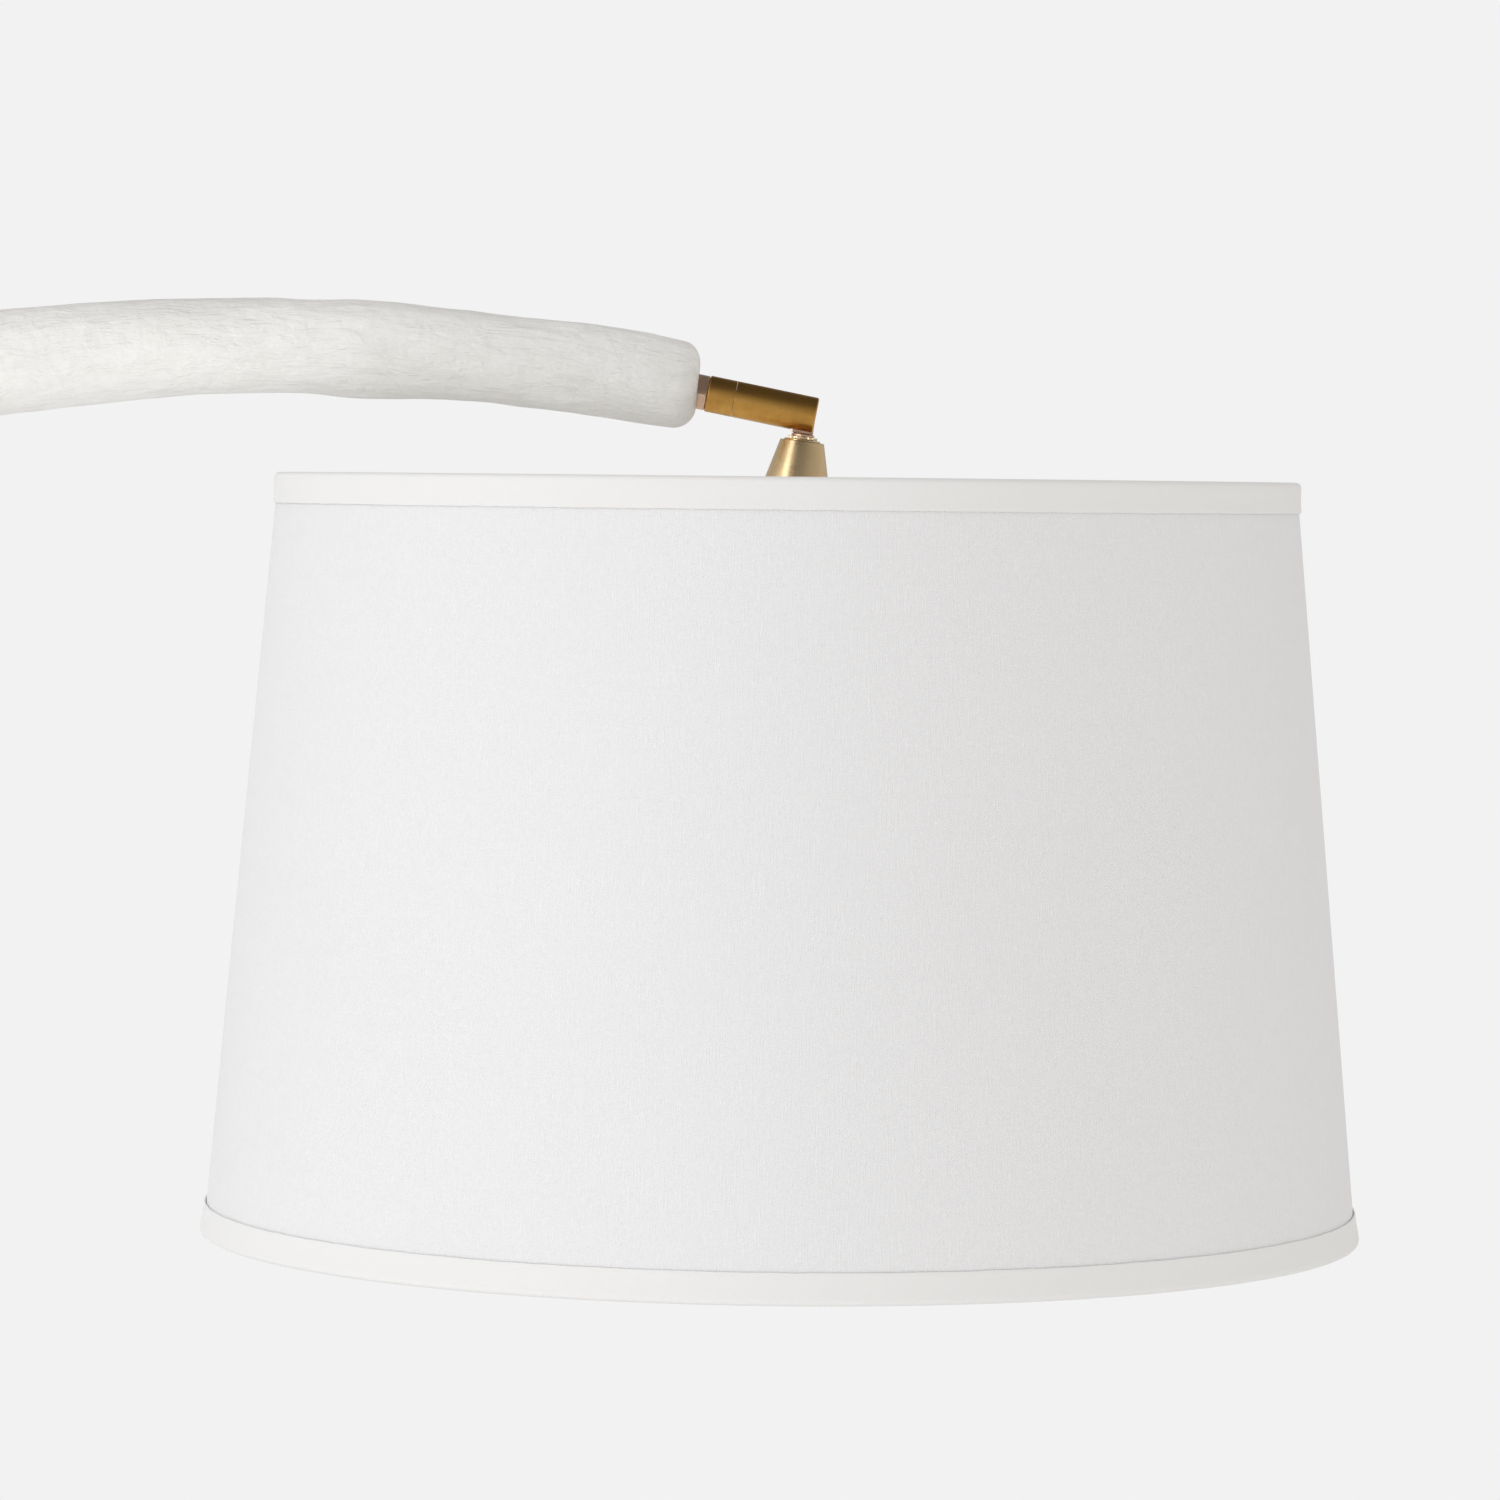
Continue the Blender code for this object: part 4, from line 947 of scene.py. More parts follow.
FINISHES: tuple[Finish, ...] = (
    Plaster("plaster", (0.92, 0.912, 0.893), (0.775, 0.758, 0.71), 0.4),
    Weave("linen", (0.83, 0.829, 0.837), (0.725, 0.722, 0.73), 0.9, depth=0.45 * MM, contrast=0.6),
    Weave(
        "linen_tape", (0.80, 0.797, 0.79), (0.755, 0.748, 0.738), 0.85,
        pitch=0.42 * MM, slub=0.25, depth=0.15 * MM, contrast=0.3,
    ),
    Brass("aged_brass", (0.76, 0.425, 0.105), (0.46, 0.225, 0.05), 0.25, age=0.55),
    Brass("satin_brass", (0.90, 0.68, 0.395), (0.70, 0.50, 0.275), 0.19, age=0.4, grain=0.7),
    Brass("dull_brass", (0.84, 0.58, 0.44), (0.50, 0.34, 0.24), 0.3, age=0.45, grain=0.5),
    Metal("bright_steel", (0.60, 0.60, 0.61), (0.42, 0.41, 0.40), 0.3),
    Metal("cast_iron", (0.11, 0.11, 0.115), (0.06, 0.055, 0.05), 0.6, grain=0.1, pitted=1.0),
    Felt("felt", (0.17, 0.16, 0.15), (0.08, 0.075, 0.07), 1.0),
    Moulding("socket_black", (0.035, 0.034, 0.033), (0.09, 0.085, 0.08), 0.34),
    Moulding("white_wire", (0.80, 0.79, 0.77), (0.66, 0.64, 0.60), 0.3, texture=500.0),
    Moulding("shade_liner", (0.88, 0.875, 0.86), (0.80, 0.79, 0.765), 0.42, texture=900.0, clouds=0.2),
    Moulding("lead_jacket", (0.74, 0.69, 0.60), (0.62, 0.57, 0.48), 0.45),
    FrostedGlass("frosted_glass", (0.93, 0.93, 0.92), (0.86, 0.86, 0.84), 0.3),
)


class Dresser:
    """Makes each finish once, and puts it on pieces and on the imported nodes."""

    def __init__(self) -> None:
        """Make every material."""
        self.materials = {finish.slot: finish.material() for finish in FINISHES}
        self.dressed: list[str] = []

    def dress(
        self, piece: bpy.types.Object, slot: str, body: Body, *nodes: str, finish: str | None = None
    ) -> bpy.types.Object:
        """Finish a new piece.

        Args:
            piece: the piece.
            slot: the record's slot that its finish comes from.
            body: the body that it rides on.
            nodes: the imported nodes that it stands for.
            finish: a duller or brighter form of the slot's finish, if it has one of its own.

        Returns:
            The same piece.
        """
        piece.data.materials.clear()
        piece.data.materials.append(self.materials[finish or slot])
        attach(piece, body.value)
        if nodes:
            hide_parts(*nodes)
        LOG.info("made %s for %s", piece.name, ", ".join(nodes) or "itself")
        self.dressed.append(piece.name)
        return piece

    def dress_nodes(self) -> None:
        """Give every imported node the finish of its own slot."""
        for entry in frame["record"]["subparts"]:
            node = frame["nodes"][entry["node"]]
            for place in node.material_slots:
                place.material = self.materials[entry["material_slot"]]
            LOG.info("dressed %s as %s", entry["node"], entry["material_slot"])


# --------------------------------------------------------------------------------------------
# Stand: base, post and arm
# --------------------------------------------------------------------------------------------
@dataclass
class ArmLine:
    """The arm's centre line, followed back from its end: three arcs and the upright post."""

    end: Vector
    slope: float
    tip_radius: float = 950 * MM
    crown_radius: float = 880 * MM
    shoulder_radius: float = 770 * MM
    crown_angle: float = radians(10)

    def arcs(self) -> list[tuple[float, float]]:
        """The arcs in order from the end, as (radius, angle)."""
        return [
            (self.tip_radius, self.slope),
            (self.crown_radius, self.crown_angle),
            (self.shoulder_radius, pi / 2 - self.crown_angle),
        ]

    def at(self, back: float) -> tuple[Vector, float]:
        """Find a point on the line.

        Args:
            back: the distance back from the arm's end.

        Returns:
            The point, and the line's heading there, which is pi / 2 on the upright post.
        """
        point = self.end.copy()
        heading = -self.slope
        for radius, angle in self.arcs():
            turn = min(back / radius, angle)
            chord = 2 * radius * sin(turn / 2)
            middle = heading + turn / 2
            point -= Vector((chord * cos(middle), 0, chord * sin(middle)))
            heading += turn
            back -= turn * radius
            if back <= 0:
                return point, heading
        return point - Vector((0, 0, back)), heading

    @property
    def bend_length(self) -> float:
        """The length of the three arcs."""
        return sum(radius * angle for radius, angle in self.arcs())


@dataclass
class PlasterSkin:
    """How the plaster lies: its lumps, strokes and wrap marks, as heights in metres."""

    lump: float = 0.75 * MM
    knead: float = 0.5 * MM
    stroke: float = 0.22 * MM
    wrap: float = 0.12 * MM
    seed: float = 0.0

    def height(self, far: float, angle: float) -> float:
        """The plaster's height over a round coat.

        Args:
            far: the distance along the coat.
            angle: the angle round it.

        Returns:
            How far the surface stands out there.
        """
        c, s = cos(angle), sin(angle)
        far += self.seed
        lump = wobble(far * 17, c * 1.1, s * 1.1)
        knead = wobble(far * 48 + 9, c * 2.3, s * 2.3)
        stroke = wobble(far * 34 + 31, c * 9, s * 9)
        wrap = wobble(far * 120 + c * 1.5, c * 1.7 + 5, s * 1.7)
        return self.lump * lump + self.knead * knead + self.stroke * stroke + self.wrap * wrap


@dataclass
class Stand:
    """Base, post and arm, with the ring between them and the gland at the back."""

    places: Places
    dresser: Dresser
    collar_gap: float = 4.7 * MM  # from the arm's end face to the collar
    end_round: tuple[float, float] = (9.0 * MM, 9.9 * MM)  # along the arm, and towards its axis
    end_lean: float = 0.1  # how much the end face leans out below, as a slope
    tip_lift: float = 1.3 * MM  # how far the last stretch is raised
    lift_end: float = 0.085  # where that stretch ends, back from the arm's end
    lift_fade: float = 0.06  # over how long it fades
    nut_hole: float = 8.9 * MM
    nut_depth: float = 8 * MM
    screw_hole: float = 3.0 * MM
    coat_bore: float = 13.3 * MM
    cover_bore: float = 13.6 * MM
    cover_shoulder: float = 24 * MM  # how far in the rounded edge starts
    cover_dome: float = 0.6 * MM  # how far the top falls towards that edge
    cover_roll: float = 17 * MM  # the height of the rounded edge
    cover_tuck: float = 5.5 * MM  # how far the side leans in at the floor
    cover_cavity: tuple[float, float] = (172 * MM, 45.5 * MM)  # radius, and height of its roof
    gland_hole: float = 6.0 * MM
    step: float = 2.6 * MM
    sides: int = 112
    # distance back from the end, and the coat's radius there
    arm_radii: tuple[tuple[float, float], ...] = (
        (0.0, 19.0 * MM),
        (0.028, 20.0 * MM),
        (0.06, 19.8 * MM),
        (0.105, 20.1 * MM),
        (0.15, 21.4 * MM),
        (0.172, 20.8 * MM),
        (0.22, 21.3 * MM),
        (0.305, 22.9 * MM),
        (1.6, 26.5 * MM),
    )
    # height up the post as a part of it, and the coat's radius there
    post_radii: tuple[tuple[float, float], ...] = (
        (0.0, 33.0 * MM),
        (0.03, 30.2 * MM),
        (0.10, 29.0 * MM),
        (1.0, 26.5 * MM),
    )

    def build(self) -> None:
        """Make every visible piece of the stand."""
        self.arm()
        self.post()
        self.base()
        self.ring()
        self.gland()
        self.felt()

    def line(self) -> ArmLine:
        """The arm's centre line, from the barrel joint."""
        axis = self.places.barrel_line
        end = self.places.collar - axis * self.collar_gap
        return ArmLine(end, atan2(-axis.z, axis.x))

    def square(
        self,
        point: Vector,
        heading: float,
        radius: float,
        far: float,
        skin: PlasterSkin | None,
        lean: float = 0.0,
    ) -> Ring:
        """Make a ring square to the arm.

        Args:
            point: its centre.
            heading: the arm's heading there.
            radius: its radius.
            far: its distance along the coat.
            skin: the plaster's relief, or None for a plain ring.
            lean: how much it leans out below, as a slope.

        Returns:
            The ring's points.
        """
        up = Vector((-sin(heading), 0, cos(heading)))
        tall = up - Vector((cos(heading), 0, sin(heading))) * lean
        side = Vector((0, 1, 0))
        lift = up * (self.tip_lift * smooth_step((self.lift_end - far) / self.lift_fade)) if skin else up * 0
        ring = []
        for i in range(self.sides):
            angle = TURN * i / self.sides
            reach = radius + (skin.height(far, angle) if skin else 0.0)
            ring.append(point + lift + side * (reach * cos(angle)) + tall * (reach * sin(angle)))
        return ring

    def arm(self) -> None:
        """The arm's coat: a long lumpy tube with a soft-edged block end."""
        line = self.line()
        seam = node_box("arm_coat")[0].z
        point, _ = line.at(line.bend_length)
        length = line.bend_length + point.z - seam
        skin = PlasterSkin()
        rings: list[Ring] = []
        fars: list[float] = []
        rounded = self.end_round[0]
        count = int((length - rounded) / self.step)
        for i in range(count + 1):
            back = lerp(length, rounded, i / count)
            place, heading = line.at(back)
            rings.append(self.square(place, heading, along(self.arm_radii, back), back, skin))
            fars.append(length - back)
        self.end_block(line, rings, fars, length, skin)
        place, heading = line.at(self.nut_depth)
        for radius in (self.nut_hole, self.coat_bore):
            rings.append(self.square(place, heading, radius, 0, None))
            fars.append(length)
        bore_steps = 60
        for i in range(bore_steps + 1):
            place, heading = line.at(lerp(self.nut_depth, length, i / bore_steps))
            rings.append(self.square(place, heading, self.coat_bore, 0, None))
            fars.append(length)
        fars.append(length)
        mean = self.arm_radii[-1][1]

        def flat(row: int, col: int) -> tuple[float, float]:
            """Lay the coat out along and round the arm."""
            return fars[row], mean * TURN * col / self.sides

        coat = Skin("arm_plaster", rings, joined=True, flat=flat).build()
        low, high = node_box("set_screw")
        middle = (low + high) / 2
        outside, inside = Vector((-36 * MM, 0, middle.z)), Vector((-9 * MM, 0, middle.z))
        drill(coat, self.screw_hole, outside, inside, 24)
        self.dresser.dress(coat, "plaster", Body.STAND, "arm_coat")

    def end_block(
        self, line: ArmLine, rings: list[Ring], fars: list[float], length: float, skin: PlasterSkin
    ) -> None:
        """Round the arm's end over to its flat face and the nut's hole.

        Args:
            line: the arm's centre line.
            rings: the coat's rings, which this adds to.
            fars: each ring's distance along the coat.
            length: the coat's length.
            skin: the plaster's relief.
        """
        rounded, reach = self.end_round
        steps = 12
        for i in range(1, steps + 1):
            angle = pi / 2 * i / steps
            back = rounded * (1 - sin(angle))
            shrink = reach * (1 - cos(angle))
            place, heading = line.at(back)
            full = along(self.arm_radii, back)
            lean = self.end_lean * i / steps
            rings.append(self.square(place, heading, full - shrink, back, skin, lean))
            fars.append(length - rounded + reach * angle)
        edge = along(self.arm_radii, 0.0) - reach
        place, heading = line.at(0.0)
        face_steps = 3
        for i in range(1, face_steps + 1):
            part = i / face_steps
            radius = lerp(edge, self.nut_hole, part)
            rings.append(self.square(place, heading, radius, 0, None, self.end_lean))
            fars.append(length + edge * part)

    def post(self) -> None:
        """The post's coat, flared at its foot."""
        low, high = node_box("post_coat")
        height = high.z - low.z
        skin = PlasterSkin(seed=7.0)
        count = int(height / self.step)
        heights = [high.z - height * i / count for i in range(count + 1)]
        rings = []
        for z in heights:
            radius = along(self.post_radii, (z - low.z) / height)
            reaches = [radius + skin.height(z, TURN * i / self.sides) for i in range(self.sides)]
            ring = circle(1.0, z, self.sides)
            for point, reach in zip(ring, reaches):
                point.xy *= reach
            rings.append(ring)
        for z in (low.z, high.z):
            rings.append(circle(self.coat_bore, z, self.sides))
            heights.append(z)
        heights.append(high.z)
        mean = self.post_radii[-1][1]

        def flat(row: int, col: int) -> tuple[float, float]:
            """Lay the coat out up and round the post."""
            return heights[row], mean * TURN * col / self.sides

        coat = Skin("post_plaster", rings, joined=True, flat=flat).build()
        self.dresser.dress(coat, "plaster", Body.STAND, "post_coat")

    def base(self) -> None:
        """The base's thick plaster cover, gently uneven, open underneath."""
        low, high = node_box("base_cover")
        radius = high.x
        top = high.z
        sides = 224
        top_steps, edge_steps, side_steps = 30, 12, 8
        shoulder, bore = self.cover_shoulder, self.cover_bore
        outline: Outline = []
        for i in range(top_steps + 1):
            part = i / top_steps
            outline.append((lerp(bore, radius - shoulder, part), top - self.cover_dome * part ** 2))
        for i in range(1, edge_steps + 1):
            angle = pi / 2 * i / edge_steps
            reach = radius - shoulder + shoulder * sin(angle)
            outline.append((reach, top - self.cover_dome - self.cover_roll * (1 - cos(angle))))
        drop = outline[-1][1] - low.z
        for i in range(1, side_steps + 1):
            part = i / side_steps
            side = radius - self.cover_tuck * part ** 2.4
            outline.append((side, top - (self.cover_dome + self.cover_roll) - drop * part))
        cavity, roof = self.cover_cavity
        outline += [(cavity, low.z), (cavity, roof), (bore, roof)]
        outer = len(outline) - 3
        inner_top = 0.12
        rings = []
        lengths = [0.0]
        for row, (reach, z) in enumerate(outline):
            ring = circle(reach, z, sides)
            lengths.append(lengths[-1] + 5 * MM)
            if 0 < row < outer:
                outward = smooth_step((reach - inner_top) / (radius - inner_top))
                for point in ring:
                    x, y, h = point * 9
                    relief = 0.9 * MM * wobble(x, y, h * 2) + 0.35 * MM * wobble(x * 3.3, y * 3.3, h * 5 + 3)
                    relief += 0.12 * MM * wobble(x * 12, y * 12, h * 12)
                    point.z += relief * (1 - outward) - 0.4 * MM
                    point.xy *= 1 + (relief - 0.7 * MM) * outward / reach
            rings.append(ring)
        cover = Skin(
            "base_plaster", rings, joined=True,
            flat=lambda row, col: (lengths[row], 0.6 * radius * TURN * col / sides),
        ).build()
        height = 11.5 * MM
        outside, inside = Vector((-radius - 5 * MM, 0, height)), Vector((-0.168, 0, height))
        drill(cover, self.gland_hole, outside, inside, 32)
        self.dresser.dress(cover, "plaster", Body.STAND, "base_cover")

    def ring(self) -> None:
        """The slim brass ring at the seam, with a groove round its middle."""
        low, high = node_box("joint_ring")
        half = (high.z - low.z) / 2
        outer = high.x
        axes = Matrix.Translation((0, 0, (low.z + high.z) / 2))
        points = [
            (13.0 * MM, half),
            (outer, half, 0.9 * MM),
            (outer, 0.7 * MM, 0.15 * MM),
            (outer - 0.5 * MM, 0.35 * MM),
            (outer - 0.5 * MM, -0.35 * MM),
            (outer, -0.7 * MM, 0.15 * MM),
            (outer, -half, 0.9 * MM),
            (13.0 * MM, -half),
        ]
        self.dresser.dress(turned("seam_ring", points, axes, 144), "aged_brass", Body.STAND, "joint_ring")

    def gland(self) -> None:
        """The cord gland's dome and its ribbed grip at the back of the base."""
        low, high = node_box("cord_gland")
        axes = Matrix.Translation((node_box("base_cover")[0].x, 0, (low.z + high.z) / 2))
        axes = axes @ Matrix.Rotation(-pi / 2, 4, "Y")
        reach = -(high.x - node_box("base_cover")[0].x)
        bore = 3.2 * MM
        points = [
            (bore, 6 * MM, 0.4 * MM),
            (5.2 * MM, 6 * MM, 0.8 * MM),
            (7.6 * MM, 3.4 * MM, 0.8 * MM),
            (7.6 * MM, 0.3 * MM),
            (5.5 * MM, 0.3 * MM),
            (5.5 * MM, reach),
            (bore, reach),
        ]

        def ribs(angle: float, radius: float, height: float) -> float:
            """Shallow ribs round the widest part."""
            return -0.25 * MM * (0.5 + 0.5 * cos(angle * 24)) if radius > 7 * MM else 0.0

        piece = turned("gland_body", points, axes, 192, relief=ribs)
        self.dresser.dress(piece, "aged_brass", Body.STAND, "cord_gland")

    def felt(self) -> None:
        """The felt disc under the base, with a soft cut edge."""
        low, high = node_box("felt_pad")
        radius = high.x
        points = [(0.0, high.z), (radius, high.z, 1.0 * MM), (radius, low.z, 0.8 * MM), (0.0, low.z)]

        def ragged(angle: float, reach: float, height: float) -> float:
            """A cut edge that isn't quite true."""
            return 0.3 * MM * wobble(cos(angle) * 14, sin(angle) * 14, height * 300) - 0.3 * MM

        disc = turned("felt_disc", points, Matrix.Identity(4), 240, solid=True, relief=ragged)
        self.dresser.dress(disc, "felt", Body.STAND, "felt_pad")


# --------------------------------------------------------------------------------------------
# Swivel: nut, collar, barrel and pin
# --------------------------------------------------------------------------------------------
@dataclass
class Swivel:
    """The brass between the arm and the head. Distances run along the barrel."""

    places: Places
    dresser: Dresser
    radius: float = 8.0 * MM
    collar_length: float = 12.0 * MM
    barrel_length: float = 48.7 * MM
    barrel_gap: float = 0.12 * MM
    spindle_bore: float = 4.3 * MM
    chamber: tuple[float, float] = (15 * MM, 36 * MM)  # from and to, along the barrel
    chamber_radius: float = 6.3 * MM
    nipple_bore: float = 5.1 * MM
    nipple_depth: float = 8.6 * MM
    slot_width: float = 5.0 * MM
    slot_roof: float = 5.25 * MM
    pin_radius: float = 1.5 * MM

    def build(self) -> None:
        """Make the nut, the collar, the barrel and the pin."""
        self.nut()
        self.collar()
        self.barrel()
        self.pin()

    def nut(self) -> None:
        """The hexagon nut, chamfered on both faces."""
        low, high = -6.1 * MM, -0.05 * MM
        apothem = 7.3 * MM
        corner = apothem / cos(pi / 6)
        bevel = 0.75 * MM
        rings = [
            circle(5.15 * MM, low + 0.25 * MM, 72),
            circle(5.4 * MM, low, 72),
            hexagon(apothem, apothem - 0.2 * MM, low),
            hexagon(apothem, lerp(apothem, corner, 0.5), low + bevel * 0.5),
            hexagon(apothem, corner - 0.12 * MM, low + bevel),
            hexagon(apothem, corner - 0.12 * MM, high - bevel),
            hexagon(apothem, lerp(apothem, corner, 0.5), high - bevel * 0.5),
            hexagon(apothem, apothem - 0.2 * MM, high),
            circle(5.4 * MM, high, 72),
            circle(5.15 * MM, high - 0.25 * MM, 72),
        ]
        nut = Skin("lock_nut", rings, joined=True, sharp=25.0).build(self.places.barrel_axes)
        self.dresser.dress(nut, "satin_brass", Body.STAND, "hex_nut", finish="dull_brass")

    def collar(self) -> None:
        """The fixed collar that the barrel turns against."""
        points = [
            (self.nipple_bore, 0.0),
            (self.radius, 0.0, 0.5 * MM),
            (self.radius, self.collar_length, 0.15 * MM),
            (self.spindle_bore, self.collar_length),
            (self.spindle_bore, self.nipple_depth),
            (self.nipple_bore, self.nipple_depth),
        ]
        piece = turned("collar_sleeve", points, self.places.barrel_axes, 128)
        self.dresser.dress(piece, "aged_brass", Body.STAND, "swivel_collar")

    def barrel(self) -> None:
        """The turning barrel, slotted for the tongue."""
        start = self.collar_length + self.barrel_gap
        end = self.barrel_length
        chamber_start, chamber_end = self.chamber
        points = [
            (self.spindle_bore, start),
            (self.radius, start, 0.15 * MM),
            (self.radius, end, 0.9 * MM),
            (0.0, end),
            (0.0, chamber_end),
            (self.chamber_radius, chamber_end),
            (self.chamber_radius, chamber_start),
            (self.spindle_bore, chamber_start),
        ]
        outline = filleted(points, loop=False, steps=6)
        rings = [circle(max(radius, 0.001 * MM), z, 128) for radius, z in outline]
        piece = Skin("barrel_body", rings, joined=True).build(self.places.barrel_axes)
        pivot = self.places.barrel_end
        half = self.slot_width / 2
        low = Vector((-self.slot_roof, -half, pivot - self.slot_roof))
        mill(piece, low, Vector((self.radius + 1 * MM, half, end + 1 * MM)))
        back = Vector((0, self.radius + 1 * MM, pivot))
        drill(piece, self.pin_radius + 0.2 * MM, Vector((0, -5.4 * MM, pivot)), back, 32)
        soften(piece, 0.18 * MM)
        self.dresser.dress(piece, "aged_brass", Body.BARREL, "swivel_barrel")

    def pin(self) -> None:
        """The pivot pin, domed where it shows at the back."""
        axes = Matrix.Translation(self.places.pivot) @ Matrix.Rotation(-pi / 2, 4, "X")
        points = [
            (0.0, 7.3 * MM),
            (1.1 * MM, 7.1 * MM, 0.6 * MM),
            (self.pin_radius, 6.7 * MM, 0.2 * MM),
            (self.pin_radius, -5.1 * MM, 0.2 * MM),
            (0.0, -5.1 * MM),
        ]
        piece = turned("hinge_pin", points, axes, 48, solid=True)
        self.dresser.dress(piece, "bright_steel", Body.BARREL, "pivot_pin")


# --------------------------------------------------------------------------------------------
# Head: knuckle, cup, socket, switch and bulb
# --------------------------------------------------------------------------------------------
@dataclass
class Head:
    """What hangs from the pivot pin. Distances run down the head's axis from the pin."""

    places: Places
    dresser: Dresser
    tongue_width: float = 9.5 * MM
    tongue_shift: float = 0.4 * MM  # towards the arm
    tongue_thick: float = 4.4 * MM
    stud_radius: float = 4.6 * MM
    stud_bore: float = 2.6 * MM
    stud_end: float = 36 * MM
    cup_top: float = 11.4 * MM
    cup_bottom: float = 57.0 * MM
    cup_top_radius: float = 9.9 * MM
    cup_bottom_radius: float = 20.9 * MM
    cup_boss_radius: float = 7.9 * MM
    cup_shoulder: float = 1.2 * MM
    skirt_radius: float = 19.2 * MM
    bulb_pitch: float = 3.6 * MM
    round_sides: int = 96
    switch_drop: float = field(init=False)

    def __post_init__(self) -> None:
        """Read how far down the switch is."""
        self.switch_drop = (self.places.switch - self.places.pivot).length

    def build(self) -> None:
        """Make every visible piece of the head but the shade."""
        self.knuckle()
        self.washer()
        self.cup()
        self.socket()
        self.shell()
        self.ring_nut()
        self.switch()
        self.bulb()

    def slab(self, width: float, thick: float, height: float, sides: int = 72) -> Ring:
        """Make a rectangular ring with rounded corners.

        Args:
            width: its size along X.
            thick: its size along Y.
            height: its height.
            sides: how many points it has.

        Returns:
            The ring's points.
        """
        power = 0.16
        ring = []
        for i in range(sides):
            angle = TURN * i / sides
            c, s = cos(angle), sin(angle)
            x = width / 2 * abs(c) ** power * (1 if c >= 0 else -1)
            y = thick / 2 * abs(s) ** power * (1 if s >= 0 else -1)
            ring.append(Vector((x - self.tongue_shift, y, height)))
        return ring

    def knuckle(self) -> None:
        """The tongue, its round shoulder and the stud."""
        radius = self.tongue_width / 2
        flare = 0.3 * MM
        rings = []
        first = radians(8)
        steps = 12
        for i in range(steps + 1):
            angle = first + (pi / 2 - first) * i / steps
            rings.append(self.slab(2 * radius * sin(angle), self.tongue_thick, radius * cos(angle)))
        rings.append(self.slab(self.tongue_width, self.tongue_thick, -8.6 * MM))
        shoulder = filleted(
            [
                (radius - 0.6 * MM, -8.9 * MM),
                (radius + flare, -9.2 * MM, 0.2 * MM),
                (radius + flare, -10.1 * MM, 0.2 * MM),
                (self.stud_radius, -10.1 * MM),
                (self.stud_radius, -self.stud_end, 0.3 * MM),
                (self.stud_bore, -self.stud_end),
                (self.stud_bore, -12 * MM),
            ],
            loop=False,
        )
        rings += [circle(reach, z, 72) for reach, z in shoulder]
        piece = Skin("tongue_and_stud", rings).build(self.places.head_axes)
        drill(piece, 1.7 * MM, Vector((0, -4 * MM, 0)), Vector((0, 4 * MM, 0)), 32)
        self.dresser.dress(piece, "satin_brass", Body.HEAD, "knuckle", finish="dull_brass")

    def washer(self) -> None:
        """The toothed washer, its teeth twisted a little out of flat."""
        sides = 192
        teeth = 14
        outer, root = 6.6 * MM, 5.7 * MM
        inner = self.stud_radius + 0.3 * MM
        rings = []
        for radius, z in ((inner, -10.3), (0.0, -10.3), (0.0, -11.1), (inner, -11.1)):
            ring = circle(radius or 1.0, z * MM, sides)
            if not radius:
                for i, point in enumerate(ring):
                    part = (i * teeth / sides) % 1.0
                    bite = smooth_step(4 * abs(part - 0.5) - 0.5)
                    point.xy *= lerp(outer, root, bite)
                    point.z += 0.12 * MM * sin(TURN * part)
            rings.append(ring)
        piece = Skin("toothed_washer", rings, joined=True, sharp=30.0).build(self.places.head_axes)
        self.dresser.dress(piece, "bright_steel", Body.HEAD, "lock_washer", finish="satin_brass")

    def cup_radius(self, d: float) -> float:
        """The cup's outer radius at a distance below the pin."""
        start = self.cup_top + self.cup_shoulder
        part = (d - start) / (self.cup_bottom - start)
        return lerp(self.cup_top_radius, self.cup_bottom_radius, part)

    def cup(self) -> None:
        """The spun brass cup, rolled at its lip."""
        wall = 1.1 * MM
        hole = self.stud_radius + 0.3 * MM
        shoulder = self.cup_top + self.cup_shoulder
        middle = 34 * MM
        points = [
            (hole, -self.cup_top),
            (self.cup_boss_radius, -self.cup_top, 0.35 * MM),
            (self.cup_boss_radius + 0.1 * MM, -self.cup_top - 0.65 * MM, 0.15 * MM),
            (self.cup_top_radius - 0.2 * MM, -self.cup_top - 0.8 * MM, 0.3 * MM),
            (self.cup_radius(middle), -middle),
            (self.cup_bottom_radius - 0.25 * MM, -self.cup_bottom + 1.6 * MM, 0.4 * MM),
            (self.cup_bottom_radius, -self.cup_bottom + 0.9 * MM, 0.4 * MM),
            (self.cup_bottom_radius, -self.cup_bottom, 0.3 * MM),
            (self.cup_bottom_radius - wall, -self.cup_bottom, 0.2 * MM),
            (self.cup_radius(middle) - wall, -middle),
            (self.cup_top_radius - wall, -shoulder - 0.2 * MM, 0.4 * MM),
            (hole, -shoulder - 0.2 * MM),
        ]
        piece = turned("spun_cup", points, self.places.head_axes, 144)
        start = Vector((0, -12 * MM, -self.switch_drop))
        drill(piece, 2.6 * MM, start, Vector((0, -22 * MM, -self.switch_drop)), 32)
        self.dresser.dress(piece, "satin_brass", Body.HEAD, "socket_cup")

    def thread(self, radius: float, start: float, end: float, pitch: float, depth: float) -> list[Ring]:
        """Make the rings of a rounded screw thread, from the top down.

        Args:
            radius: its outer radius.
            start: the distance down to its first ring.
            end: the distance down to its last ring.
            pitch: the thread's pitch.
            depth: how deep it is.

        Returns:
            The rings, fading to plain at both ends.
        """
        rings = []
        rings_per_turn = 8
        steps = int((end - start) / pitch * rings_per_turn)
        for k in range(steps + 1):
            d = lerp(start, end, k / steps)
            fade = smooth_step(min(d - start, end - d) / pitch)
            ring = circle(1.0, -d, self.round_sides)
            for i, point in enumerate(ring):
                turn = d / pitch - i / self.round_sides
                point.xy *= radius - depth * fade * (0.5 - 0.5 * cos(TURN * turn))
            rings.append(ring)
        return rings

